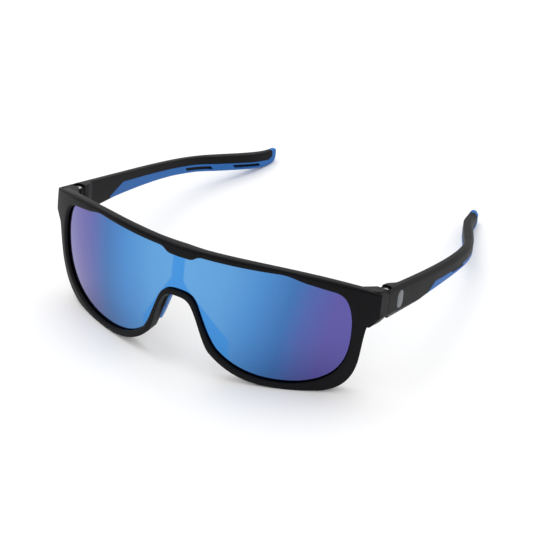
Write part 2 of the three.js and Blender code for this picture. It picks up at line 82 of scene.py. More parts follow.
class Side(Enum):
    """The wearer's left or right side, by the sign of X."""

    LEFT = 1
    RIGHT = -1

    @property
    def word(self) -> str:
        """The side's name as the frame spells it."""
        return self.name.lower()


# ---- Closed bodies -------------------------------------------------------------------------


def evaluated_mesh(thing: bpy.types.Object) -> bpy.types.Mesh:
    """A plain mesh of an object with its modifiers applied."""
    graph = bpy.context.evaluated_depsgraph_get()
    return bpy.data.meshes.new_from_object(thing.evaluated_get(graph), depsgraph=graph)


def discard(thing: bpy.types.Object) -> None:
    """Removes a helper object and its mesh.

    Args:
        thing: the object to remove.
    """
    data = thing.data
    bpy.data.objects.remove(thing)
    if data is not None and data.users == 0:
        bpy.data.meshes.remove(data)


class Solid:
    """A closed body in millimetres that can be combined, sliced and bent."""

    def __init__(self, points: Iterable[Sequence[float]], faces: Iterable[Sequence[int]]) -> None:
        """Keeps the corners and the faces.

        Args:
            points: corners, in millimetres.
            faces: corner numbers of each face.
        """
        self.points: Points = np.asarray(list(points), float)
        self.faces = [tuple(int(i) for i in face) for face in faces]

    @classmethod
    def from_mesh(cls, mesh: bpy.types.Mesh) -> "Solid":
        """Reads a mesh and removes it.

        Args:
            mesh: the mesh to read.

        Returns:
            The body.
        """
        points = np.empty(len(mesh.vertices) * 3)
        mesh.vertices.foreach_get("co", points)
        faces = [tuple(polygon.vertices) for polygon in mesh.polygons]
        bpy.data.meshes.remove(mesh)
        return cls(points.reshape(-1, 3), faces)

    def mesh(self, name: str = "body", scale: float = 1.0) -> bpy.types.Mesh:
        """A mesh of the body with its faces turned outwards.

        Args:
            name: the mesh's name.
            scale: factor on every coordinate.

        Returns:
            The new mesh.
        """
        mesh = bpy.data.meshes.new(name)
        mesh.from_pydata((self.points * scale).tolist(), [], self.faces)
        shape = bmesh.new()
        shape.from_mesh(mesh)
        bmesh.ops.recalc_face_normals(shape, faces=shape.faces)
        if shape.calc_volume(signed=True) < 0:
            bmesh.ops.reverse_faces(shape, faces=shape.faces)
        shape.to_mesh(mesh)
        shape.free()
        return mesh

    def edited(self, edit: Callable[[bmesh.types.BMesh], None]) -> "Solid":
        """The body after an edit of its bmesh.

        Args:
            edit: changes the bmesh that it is given.

        Returns:
            The edited body.
        """
        mesh = self.mesh()
        shape = bmesh.new()
        shape.from_mesh(mesh)
        edit(shape)
        shape.to_mesh(mesh)
        shape.free()
        return Solid.from_mesh(mesh)

    def combined(self, other: "Solid", how: Cut) -> "Solid":
        """This body joined with, cut by or limited to another.

        Args:
            other: the second body.
            how: which of the three.

        Returns:
            The new body.
        """
        ours, theirs = (bpy.data.objects.new("body", s.mesh()) for s in (self, other))
        for thing in (ours, theirs):
            bpy.context.scene.collection.objects.link(thing)
        modifier = ours.modifiers.new("combine", "BOOLEAN")
        modifier.operation = how.value
        modifier.solver = "MANIFOLD"
        modifier.object = theirs
        made = evaluated_mesh(ours)
        discard(ours)
        discard(theirs)
        if not made.polygons:
            raise ValueError("a combination of two bodies left nothing")
        return Solid.from_mesh(made)

    def __add__(self, other: "Solid") -> "Solid":
        """Both bodies as one."""
        return self.combined(other, Cut.JOIN)

    def __sub__(self, other: "Solid") -> "Solid":
        """This body without the other's room."""
        return self.combined(other, Cut.REMOVE)

    def __and__(self, other: "Solid") -> "Solid":
        """What the two bodies share."""
        return self.combined(other, Cut.KEEP_COMMON)

    def bent(self, rule: Callable[[Points], Points]) -> "Solid":
        """The body with every corner moved by a rule."""
        return Solid(rule(self.points), self.faces)

    def placed(self, matrix: Matrix) -> "Solid":
        """The body moved by a matrix."""
        grid = np.array(matrix)
        return self.bent(lambda p: p @ grid[:3, :3].T + grid[:3, 3])

    def mirrored(self) -> "Solid":
        """The mirror image across X = 0."""
        return Solid(self.points * (-1, 1, 1), [face[::-1] for face in self.faces])

    def on(self, side: Side) -> "Solid":
        """The body as the given side has it, when it was drawn for the left."""
        return self if side is Side.LEFT else self.mirrored()

    def sliced(self, axis: int, places: Iterable[float]) -> "Solid":
        """The same body with edge loops added, so that it can bend.

        Args:
            axis: 0, 1 or 2, the axis that the slices stand across.
            places: where they stand.

        Returns:
            The sliced body.
        """
        across = Vector([float(i == axis) for i in range(3)])

        def slice_all(shape: bmesh.types.BMesh) -> None:
            """Cuts at each place.

            Args:
                shape: the bmesh that is cut.
            """
            for place in places:
                parts = [*shape.verts, *shape.edges, *shape.faces]
                bmesh.ops.bisect_plane(
                    shape, geom=parts, plane_co=across * place, plane_no=across, dist=1e-5
                )

        return self.edited(slice_all)

    def bevelled(self, width: float, steps: int = 3, angle: float = 28.0) -> "Solid":
        """The body with its crisp edges rounded.

        Args:
            width: of the rounding, in millimetres.
            steps: faces across it.
            angle: edges sharper than this many degrees are rounded.

        Returns:
            The rounded body.
        """
        thing = bpy.data.objects.new("body", self.mesh())
        bpy.context.scene.collection.objects.link(thing)
        modifier = thing.modifiers.new("round", "BEVEL")
        modifier.width = width
        modifier.segments = steps
        modifier.limit_method = "ANGLE"
        modifier.angle_limit = math.radians(angle)
        made = evaluated_mesh(thing)
        discard(thing)
        return Solid.from_mesh(made)


def loft(rings: Sequence[Points], closed: bool = False) -> Solid:
    """A body through rings of the same number of points.

    Args:
        rings: the sections in order.
        closed: True if the last ring joins the first, otherwise the ends are capped.

    Returns:
        The body.
    """
    count = len(rings[0])
    total = len(rings)
    faces: list[Sequence[int]] = []
    for i in range(total if closed else total - 1):
        j = (i + 1) % total
        for k in range(count):
            m = (k + 1) % count
            faces.append((i * count + k, i * count + m, j * count + m, j * count + k))
    if not closed:
        faces.append(tuple(range(count))[::-1])
        faces.append(tuple((total - 1) * count + k for k in range(count)))
    return Solid(np.concatenate(rings), faces)


def prism(outline: Sequence[Sequence[float]], low: float, high: float, axis: int = 0) -> Solid:
    """An outline extruded along an axis.

    Args:
        outline: corners in the two other axes, in their order.
        low: where the extrusion starts.
        high: where it ends.
        axis: the extrusion's axis.

    Returns:
        The body.
    """
    flat = np.asarray(outline, float)
    return loft([np.insert(flat, axis, place, axis=1) for place in (low, high)])


def rod(radius: float, low: float, high: float, sides: int = 64) -> Solid:
    """A round bar along Z about the origin."""
    return lathe([(0.0, low), (radius, low), (radius, high), (0.0, high)], sides)


def lathe(profile: Sequence[tuple[float, float]], sides: int = 64) -> Solid:
    """A body turned about Z.

    Args:
        profile: radius and height of each corner, from the bottom pole to the top pole.
        sides: faces round it.

    Returns:
        The body, with one corner at each pole.
    """
    turn = np.arange(sides) * 2 * math.pi / sides
    circle = np.stack([np.cos(turn), np.sin(turn)], 1)
    rings = [np.column_stack([circle * r, np.full(sides, z)]) for r, z in profile[1:-1]]
    body = loft(rings)
    points = np.vstack([body.points, (0, 0, profile[0][1]), (0, 0, profile[-1][1])])
    faces = body.faces[:-2]
    bottom = len(points) - 2
    last = (len(rings) - 1) * sides
    for k in range(sides):
        m = (k + 1) % sides
        faces.append((bottom, m, k))
        faces.append((bottom + 1, last + k, last + m))
    return Solid(points, faces)


def carved(planes: Sequence[tuple[Sequence[float], Sequence[float]]]) -> Solid:
    """The body inside a set of planes.

    Args:
        planes: a point on each plane and the direction out of the body.

    Returns:
        The body.
    """
    corner = [(-FAR, -FAR), (FAR, -FAR), (FAR, FAR), (-FAR, FAR)]

    def cut_away(shape: bmesh.types.BMesh) -> None:
        """Removes what is outside each plane and closes the hole.

        Args:
            shape: the bmesh that is cut.
        """
        for spot, out in planes:
            parts = [*shape.verts, *shape.edges, *shape.faces]
            cut = bmesh.ops.bisect_plane(
                shape, geom=parts, plane_co=spot, plane_no=out, clear_outer=True
            )["geom_cut"]
            edges = [part for part in cut if isinstance(part, bmesh.types.BMEdge)]
            if edges:
                bmesh.ops.contextual_create(shape, geom=edges)

    return prism(corner, -FAR, FAR, 2).edited(cut_away)


# ---- Curves --------------------------------------------------------------------------------


def bezier(corners: Sequence[Sequence[float]], count: int = 48) -> Points:
    """Points along a Bezier curve of any degree, both ends included.

    Args:
        corners: the curve's control points.
        count: how many points are wanted.

    Returns:
        The points.
    """
    points = np.repeat(np.asarray(corners, float)[None], count, axis=0)
    t = np.linspace(0, 1, count)[:, None, None]
    while points.shape[1] > 1:
        points = points[:, :-1] * (1 - t) + points[:, 1:] * t
    return points[:, 0]


def arc(
    x: float, y: float, radius: float, start: float, count: int, sweep: float = 90.0
) -> list[tuple[float, float]]:
    """Points along a circular arc.

    Args:
        x: first coordinate of the centre.
        y: second coordinate of the centre.
        radius: of the circle.
        start: angle of the first point, in degrees.
        count: how many points.
        sweep: angle from the first point to the last, in degrees.

    Returns:
        The points.
    """
    turn = np.radians(np.linspace(start, start + sweep, count))
    return [(x + radius * math.cos(a), y + radius * math.sin(a)) for a in turn]


def chain(start: Sequence[float], *pieces: Sequence[Sequence[float]]) -> Points:
    """Points along a path of lines and Bezier curves.

    Args:
        start: the first point.
        pieces: what follows the point reached so far: one point for a line, more for a curve.

    Returns:
        The points, without doubles.
    """
    run = [np.asarray([start], float)]
    for piece in pieces:
        run.append(bezier([run[-1][-1], *piece])[1:])
    return np.concatenate(run)


def respaced(path: Points, parts: Sequence[float]) -> Points:
    """Points at given shares of a path's length.

    Args:
        path: points of the path.
        parts: shares of its length, from 0 to 1.

    Returns:
        One point for each share.
    """
    steps = np.linalg.norm(np.diff(path, axis=0), axis=1)
    reach = np.concatenate([[0.0], np.cumsum(steps)])
    at = np.asarray(parts) * reach[-1]
    return np.column_stack([np.interp(at, reach, path[:, i]) for i in range(path.shape[1])])


def stretch(path: Points, count: int) -> Points:
    """Evenly spaced points along a path, without its first."""
    return respaced(path, np.linspace(0, 1, count + 1)[1:])


def offset(path: Points, distance: float) -> Points:
    """A path moved to its left by a distance, with both ends kept on X = 0.

    Args:
        path: the path, from one point on X = 0 to another.
        distance: how far it moves to its left.

    Returns:
        The moved path.
    """
    along = np.gradient(path, axis=0)
    along /= np.linalg.norm(along, axis=1)[:, None]
    moved = path + distance * np.column_stack([-along[:, 1], along[:, 0]])
    moved[[0, -1], 0] = 0
    return moved


def smooth(value: np.ndarray | float, low: float, high: float) -> np.ndarray:
    """A smooth step from 0 at low to 1 at high."""
    t = np.clip((np.asarray(value, float) - low) / (high - low), 0, 1)
    return t * t * (3 - 2 * t)


# ---- Shader building -----------------------------------------------------------------------


class Wire:
    """An output socket, with Python operators that add Math nodes."""

    def __init__(self, shader: "Shader", socket: bpy.types.NodeSocket) -> None:
        """Wraps a socket of a shader."""
        self.shader = shader
        self.socket = socket

    def _math(self, operation: str, *values: Any) -> "Wire":
        """A Math node on these values."""
        return self.shader.node("ShaderNodeMath", {"operation": operation}, dict(enumerate(values)))

    def __add__(self, other: Any) -> "Wire":
        """Sum."""
        return self._math("ADD", self, other)

    __radd__ = __add__

    def __sub__(self, other: Any) -> "Wire":
        """Difference."""
        return self._math("SUBTRACT", self, other)

    def __rsub__(self, other: Any) -> "Wire":
        """Difference from a number."""
        return self._math("SUBTRACT", other, self)

    def __mul__(self, other: Any) -> "Wire":
        """Product."""
        return self._math("MULTIPLY", self, other)

    __rmul__ = __mul__

    def __truediv__(self, other: Any) -> "Wire":
        """Quotient."""
        return self._math("DIVIDE", self, other)

    def __abs__(self) -> "Wire":
        """Size without sign."""
        return self._math("ABSOLUTE", self)

    def at_least(self, other: Any) -> "Wire":
        """The larger of the two."""
        return self._math("MAXIMUM", self, other)

    def at_most(self, other: Any) -> "Wire":
        """The smaller of the two."""
        return self._math("MINIMUM", self, other)

    def step(self, low: float, high: float) -> "Wire":
        """A smooth step from 0 at low to 1 at high.

        Args:
            low: where the step begins.
            high: where it ends.

        Returns:
            The step's value.
        """
        settings = {"interpolation_type": "SMOOTHSTEP"}
        inputs = {"Value": self, "From Min": low, "From Max": high}
        return self.shader.node("ShaderNodeMapRange", settings, inputs)


class Shader:
    """One material and the ways to add nodes to it."""

    def __init__(self, name: str) -> None:
        """Starts an empty material with a Principled surface.

        Args:
            name: the material's name.
        """
        self.material = bpy.data.materials.new(name)
        self.material.use_nodes = True
        self.tree = self.material.node_tree
        self.tree.nodes.clear()
        self.surface = self.tree.nodes.new("ShaderNodeBsdfPrincipled")
        output = self.tree.nodes.new("ShaderNodeOutputMaterial")
        self.tree.links.new(self.surface.outputs[0], output.inputs["Surface"])

    def node(
        self,
        kind: str,
        settings: Mapping[str, Any] | None = None,
        inputs: Mapping[str | int, Any] | None = None,
        output: str | int = 0,
    ) -> Wire:
        """Adds a node.

        Args:
            kind: the node's type.
            settings: its own settings, and "stops" for a colour ramp's positions and colours.
            inputs: a value or a wire for each socket, by name or number.
            output: which output is wanted.

        Returns:
            The wire from that output.
        """
        made = self.tree.nodes.new(kind)
        for key, value in (settings or {}).items():
            if key == "stops":
                self._set_stops(made.color_ramp.elements, value)
            else:
                setattr(made, key, value)
        for key, value in (inputs or {}).items():
            self.feed(made.inputs[key], value)
        return Wire(self, made.outputs[output])

    @staticmethod
    def _set_stops(elements: Any, stops: Sequence[tuple[float, Colour]]) -> None:
        """Gives a ramp its stops.

        Args:
            elements: the ramp's elements.
            stops: place and colour of each stop.
        """
        while len(elements) < len(stops):
            elements.new(1.0)
        for element, (place, colour) in zip(elements, stops):
            element.position = place
            element.color = (*colour, 1.0)

    def feed(self, socket: bpy.types.NodeSocket, value: Any) -> None:
        """Links a wire to a socket, or sets the socket's own value.

        Args:
            socket: the input socket.
            value: a wire, a number, a colour or a vector.
        """
        if isinstance(value, Wire):
            self.tree.links.new(value.socket, socket)
        elif isinstance(value, tuple) and len(value) == 3 and socket.type == "RGBA":
            socket.default_value = (*value, 1.0)
        else:
            socket.default_value = value

    def dress(self, **inputs: Any) -> None:
        """Sets the surface's sockets, named with _ for each space."""
        for key, value in inputs.items():
            self.feed(self.surface.inputs[key.replace("_", " ")], value)

    def place(self) -> Wire:
        """Object coordinates, in metres."""
        return self.node("ShaderNodeTexCoord", output="Object")

    def axes(self, vector: Wire) -> tuple[Wire, Wire, Wire]:
        """The three parts of a vector.

        Args:
            vector: the vector's wire.

        Returns:
            The wires of X, Y and Z.
        """
        parts = self.tree.nodes.new("ShaderNodeSeparateXYZ")
        self.feed(parts.inputs[0], vector)
        return tuple(Wire(self, out) for out in parts.outputs)  # type: ignore[return-value]

    def noise(self, per_metre: float, detail: float = 3.0, rough: float = 0.55) -> Wire:
        """Noise from 0 to 1 on object coordinates.

        Args:
            per_metre: how many waves in a metre.
            detail: octaves.
            rough: strength of the finer octaves.

        Returns:
            The noise's value.
        """
        inputs = {"Vector": self.place(), "Scale": per_metre, "Detail": detail, "Roughness": rough}
        return self.node("ShaderNodeTexNoise", None, inputs)

    def mix(self, share: Any, first: Any, second: Any) -> Wire:
        """A mix of two colours.

        Args:
            share: how much of the second.
            first: a colour or a wire.
            second: a colour or a wire.

        Returns:
            The mixed colour.
        """
        made = self.tree.nodes.new("ShaderNodeMix")
        made.data_type = "RGBA"
        self.feed(made.inputs[0], share)
        self.feed(made.inputs[6], first)
        self.feed(made.inputs[7], second)
        return Wire(self, made.outputs[2])

    def bump(self, height: Wire, depth: float, strength: float = 1.0, edge: float = 0.0) -> Wire:
        """A normal from a height.

        Args:
            height: from 0 to 1.
            depth: what 1 stands for, in metres.
            strength: of the effect.
            edge: radius of softened edges, in metres, or 0 for none.

        Returns:
            The normal.
        """
        inputs: dict[str | int, Any] = {"Height": height, "Distance": depth, "Strength": strength}
        if edge:
            inputs["Normal"] = self.node("ShaderNodeBevel", {"samples": 6}, {"Radius": edge})
        return self.node("ShaderNodeBump", None, inputs)


# ---- Finishes ------------------------------------------------------------------------------


def linear(red: int, green: int, blue: int) -> Colour:
    """A display colour of three bytes as linear light.

    Args:
        red: first byte, 0 to 255.
        green: second byte.
        blue: third byte.

    Returns:
        The three parts as linear light.
    """

    def channel(value: float) -> float:
        """One channel."""
        return value / 12.92 if value <= 0.04045 else ((value + 0.055) / 1.055) ** 2.4

    return (channel(red / 255), channel(green / 255), channel(blue / 255))


@dataclass(frozen=True)
class MattePlastic:
    """Moulded nylon with a spark-eroded grain."""

    name: str
    colour: Colour
    roughness: float = 0.5
    specular: float = 0.4
    edge: float = 0.00025

    def material(self) -> bpy.types.Material:
        """Grain, faint cloudiness and slightly polished patches.

        Returns:
            The new material.
        """
        shader = Shader(self.name)
        cloud = shader.noise(90.0, 4.0)
        grain = shader.noise(5200.0, 2.0, 0.7)
        darker = tuple(0.82 * c for c in self.colour)
        lighter = tuple(1.18 * c for c in self.colour)
        shader.dress(
            Base_Color=shader.mix(cloud.step(0.35, 0.65), darker, lighter),
            Roughness=self.roughness - 0.06 + 0.12 * cloud + 0.05 * (grain - 0.5),
            Specular_IOR_Level=self.specular,
            Normal=shader.bump(grain, 0.00003, 0.55, self.edge),
        )
        return shader.material


@dataclass(frozen=True)
class SoftRubber:
    """Matte elastomer with a fine mottled skin."""

    name: str
    colour: Colour
    shade: Colour
    mottle: float = 700.0
    roughness: float = 0.6
    relief: float = 0.00008

    def material(self) -> bpy.types.Material:
        """Two shades mixed by noise over a pebbled bump.

        Returns:
            The new material.
        """
        shader = Shader(self.name)
        patches = shader.noise(self.mottle, 3.0, 0.6)
        pebble = shader.noise(2600.0, 2.0, 0.6)
        broad = shader.noise(60.0, 2.0)
        share = (0.75 * patches + 0.25 * broad).step(0.38, 0.62)
        shader.dress(
            Base_Color=shader.mix(share, self.shade, self.colour),
            Roughness=self.roughness - 0.08 + 0.16 * pebble,
            Specular_IOR_Level=0.35,
            Sheen_Weight=0.08,
            Sheen_Roughness=0.4,
            Normal=shader.bump(0.5 * patches + 0.5 * pebble, self.relief, 0.5, 0.0002),
        )
        return shader.material


@dataclass(frozen=True)
class MirrorCoating:
    """A first-surface mirror coating that turns from sky blue to violet towards the sides, partly
    coating colour and partly painted reflection.
    """

    name: str
    # stops of the lens colour across the lens: coating colour with painted reflection, lightest in
    # the middle
    bands: tuple[tuple[float, Colour], ...]
    # colour of the painted reflection strip over and beside the nose
    strip: Colour
    centre: float = 2.5  # where the gradient and its painted reflection are lightest, in millimetres along X
    datum: float = 29.4  # height of the middle of the lens, in millimetres
    reach: float = 64.0  # from the lightest part to the far edge, in millimetres
    shade: float = 0.15  # share of the light that the coating swallows
    strip_half: float = 2.6  # half the painted reflection strip's width at the brow, in millimetres
    strip_rise: float = 9.0  # height over the datum from which the painted reflection strip widens downwards
    roughness: float = 0.07

    def material(self) -> bpy.types.Material:
        """Bands across the lens, partly coating colour and partly painted reflection, with a deeper
        painted reflection strip over and beside the nose.

        Returns:
            The new material.
        """
        shader = Shader(self.name)
        across, _, up = shader.axes(shader.place())
        x = across / MILLIMETRE - self.centre
        v = up / MILLIMETRE - self.datum
        right = x.step(-2.0, 8.0)
        tilt = v * (right * -0.16 - 0.04)
        # wavy edges of the painted reflection patches
        reflection_ripple = (shader.noise(26.0, 1.0) - 0.5) * 2.4
        far = (abs(x) + tilt + reflection_ripple) / self.reach
        # coating colour with painted reflection, lightest near the middle and violet at the sides
        bands = shader.node("ShaderNodeValToRGB", {"stops": self.bands}, {0: far})
        lowered = (self.strip_rise - v).at_least(0.0)
        wide = (lowered * 0.95).at_most(19.0) * right
        narrow = (lowered * 0.6).at_most(13.0) * (1 - right)
        edge = abs(across / MILLIMETRE + 0.6) - (wide + narrow + self.strip_half) + reflection_ripple * 0.25
        # mask of the painted reflection strip: 1 inside it, 0 outside
        strip = 1 - edge.step(-0.5, 0.5)
        # the lens colour with its painted reflection bands and painted reflection strip
        clear = shader.mix(strip, bands, self.strip)
        fine = shader.noise(1800.0, 2.0)
        shader.dress(
            Base_Color=shader.mix(self.shade, clear, (0.0, 0.0, 0.02)),
            Metallic=1.0,
            Roughness=self.roughness + 0.03 * fine,
            Coat_Weight=0.25,
            Coat_Roughness=0.04,
            Normal=shader.bump(shader.noise(40.0, 1.0), 0.00004, 0.15),
        )
        return shader.material


@dataclass(frozen=True)
class SmokePlastic:
    """The lens's own dark tinted plastic, as seen from behind."""

    name: str
    colour: Colour
    roughness: float = 0.08

    def material(self) -> bpy.types.Material:
        """A polished surface with a trace of haze.

        Returns:
            The new material.
        """
        shader = Shader(self.name)
        haze = shader.noise(55.0, 2.0)
        shader.dress(
            Base_Color=self.colour,
            Roughness=self.roughness + 0.05 * haze,
            Specular_IOR_Level=0.5,
            Coat_Weight=0.3,
            Coat_Roughness=0.05,
        )
        return shader.material


@dataclass(frozen=True)
class Metal:
    """Bare metal with brushed or turned marks."""

    name: str
    colour: Colour
    roughness: float = 0.3
    marks: float = 900.0

    def material(self) -> bpy.types.Material:
        """Fine marks in the roughness and the normal.

        Returns:
            The new material.
        """
        shader = Shader(self.name)
        marks = shader.noise(self.marks, 4.0, 0.65)
        dull = tuple(0.8 * c for c in self.colour)
        shader.dress(
            Base_Color=shader.mix(marks, dull, self.colour),
            Metallic=1.0,
            Roughness=self.roughness - 0.08 + 0.18 * marks,
            Normal=shader.bump(marks, 0.00002, 0.35, 0.0001),
        )
        return shader.material


@dataclass(frozen=True)
class Paper:
    """The pale sweep that the glasses stand on."""

    name: str = "pale_sweep"
    colour: Colour = (0.93, 0.93, 0.93)

    def material(self) -> bpy.types.Material:
        """An even matte surface with a trace of fibre.

        Returns:
            The new material.
        """
        shader = Shader(self.name)
        fibre = shader.noise(400.0, 3.0)
        shader.dress(
            Base_Color=self.colour,
            Roughness=0.85 + 0.1 * fibre,
            Specular_IOR_Level=0.1,
        )
        return shader.material


# lens colours from violet at the sides to sky blue in the middle; the lighter ones are partly
# painted reflection
VIOLET = linear(97, 91, 167)
SLATE = linear(86, 102, 173)
MIDDLE_BLUE = linear(66, 118, 182)
CLEAR_BLUE = linear(79, 144, 210)
SKY = linear(103, 168, 226)

NYLON = MattePlastic("black_nylon", linear(10, 10, 13), 0.52, 0.11)
LENS_COATING = MirrorCoating(
    "blue_mirror_coating",
    (
        (0.0, SKY),
        (0.22, linear(98, 163, 222)),
        (0.42, CLEAR_BLUE),
        (0.6, MIDDLE_BLUE),
        (0.72, SLATE),
        (0.84, VIOLET),
    ),
    # colour of the painted reflection strip
    linear(68, 150, 225),
)
GRIP_RUBBER = SoftRubber("blue_grip_rubber", linear(20, 98, 172), linear(17, 92, 164), 2600.0)
PAD_RUBBER = SoftRubber(
    "blue_pad_rubber", linear(58, 128, 200), linear(26, 82, 150), 420.0, 0.5, 0.00016
)
LENS_SMOKE = SmokePlastic("smoke_polycarbonate", linear(30, 32, 44))
STEEL = Metal("turned_steel", (0.74, 0.75, 0.77), 0.24)
BRASS = Metal("insert_brass", (0.72, 0.5, 0.2), 0.34)
SATIN = Metal("satin_inlay_metal", (0.19, 0.2, 0.22), 0.4, 500.0)


def show(
    body: Solid,
    finish: bpy.types.Material,
    name: str,
    rides_on: str,
    slot: str,
    replaces: Sequence[str],
) -> bpy.types.Object:
    """Makes a finished piece of a body.

    Args:
        body: the shape, in millimetres in the row frame.
        finish: its material.
        name: the piece's name.
        rides_on: the CAD body it moves with.
        slot: the record's material slot; not used.
        replaces: the CAD nodes it stands for.

    Returns:
        The piece.
    """
    mesh = body.mesh(name, MILLIMETRE)
    mesh.shade_smooth()
    mesh.set_sharp_from_angle(angle=SHARP_EDGE)
    piece = bpy.data.objects.new(name, mesh)
    bpy.context.scene.collection.objects.link(piece)
    piece.data.materials.append(finish)
    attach(piece, rides_on)
    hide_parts(*replaces)
    log.info("%s rides on %s, %d faces", name, rides_on, len(mesh.polygons))
    return piece


# ---- Where things are ----------------------------------------------------------------------


@dataclass(frozen=True)
class Layout:
    """The sizes that the front and the sides share, and where they stand in the row frame."""

    half_width: float = 71.4
    rise: float = 30.0
    lean: float = math.radians(3.85)
    wrap_radius: float = 113.0
    face_radius: float = 137.0
    hinge_inset: float = 3.3
    hinge_back: float = 9.8
    hinge_rise: float = 36.2
    seam: float = -2.35  # where the front meets the temple, along the hinge's own Y
    seam_gap: float = 0.12  # half the gap there
    root_thickness: float = 5.3
    joint: Mapping[str, Any] = field(
        default_factory=lambda: next(j for j in frame["joints"] if j["name"] == "temple_left_fold")
    )

    @property
    def shift(self) -> Vector:
        """From the front's own datum to the row frame."""
        datum = Vector((self.half_width - self.hinge_inset, self.hinge_back, self.hinge_rise))
        return Vector(self.joint["pos_m"]) / MILLIMETRE - datum

    @property
    def front_matrix(self) -> Matrix:
        """From the curved front to the row frame.

        Returns:
            The matrix, in millimetres.
        """
        depth = self.wrap_radius - math.sqrt(self.wrap_radius**2 - self.half_width**2)
        stand = Matrix.Translation(self.shift + Vector((0, -depth, self.rise)))
        return stand @ Matrix.Rotation(-self.lean, 4, "X")

    @property
    def hinge_matrix(self) -> Matrix:
        """From the left hinge's own frame to the row frame.

        Returns:
            The matrix, in millimetres.
        """
        axis = self.joint["axis"]
        lean = math.atan2(axis[1], axis[2])
        spot = Vector(self.joint["pos_m"]) / MILLIMETRE
        return Matrix.Translation(spot) @ Matrix.Rotation(-lean, 4, "X")

    def wrap(self, flat: Points) -> Points:
        """Bends points of the flat front round the face.

        Args:
            flat: X across, Y above the datum and Z minus the depth behind the face.

        Returns:
            The points in the row frame.
        """
        sin_rise = flat[:, 1] / self.face_radius
        cos_rise = np.sqrt(1 - sin_rise**2)
        reach = self.wrap_radius - self.face_radius * (1 - cos_rise)
        radius = reach + flat[:, 2] * cos_rise
        sin_turn = flat[:, 0] / reach
        cos_turn = np.sqrt(1 - sin_turn**2)
        curved = np.column_stack(
            [
                radius * sin_turn,
                self.wrap_radius - radius * cos_turn,
                flat[:, 1] + flat[:, 2] * sin_rise,
            ]
        )
        grid = np.array(self.front_matrix)
        return curved @ grid[:3, :3].T + grid[:3, 3]


# ---- The front -----------------------------------------------------------------------------


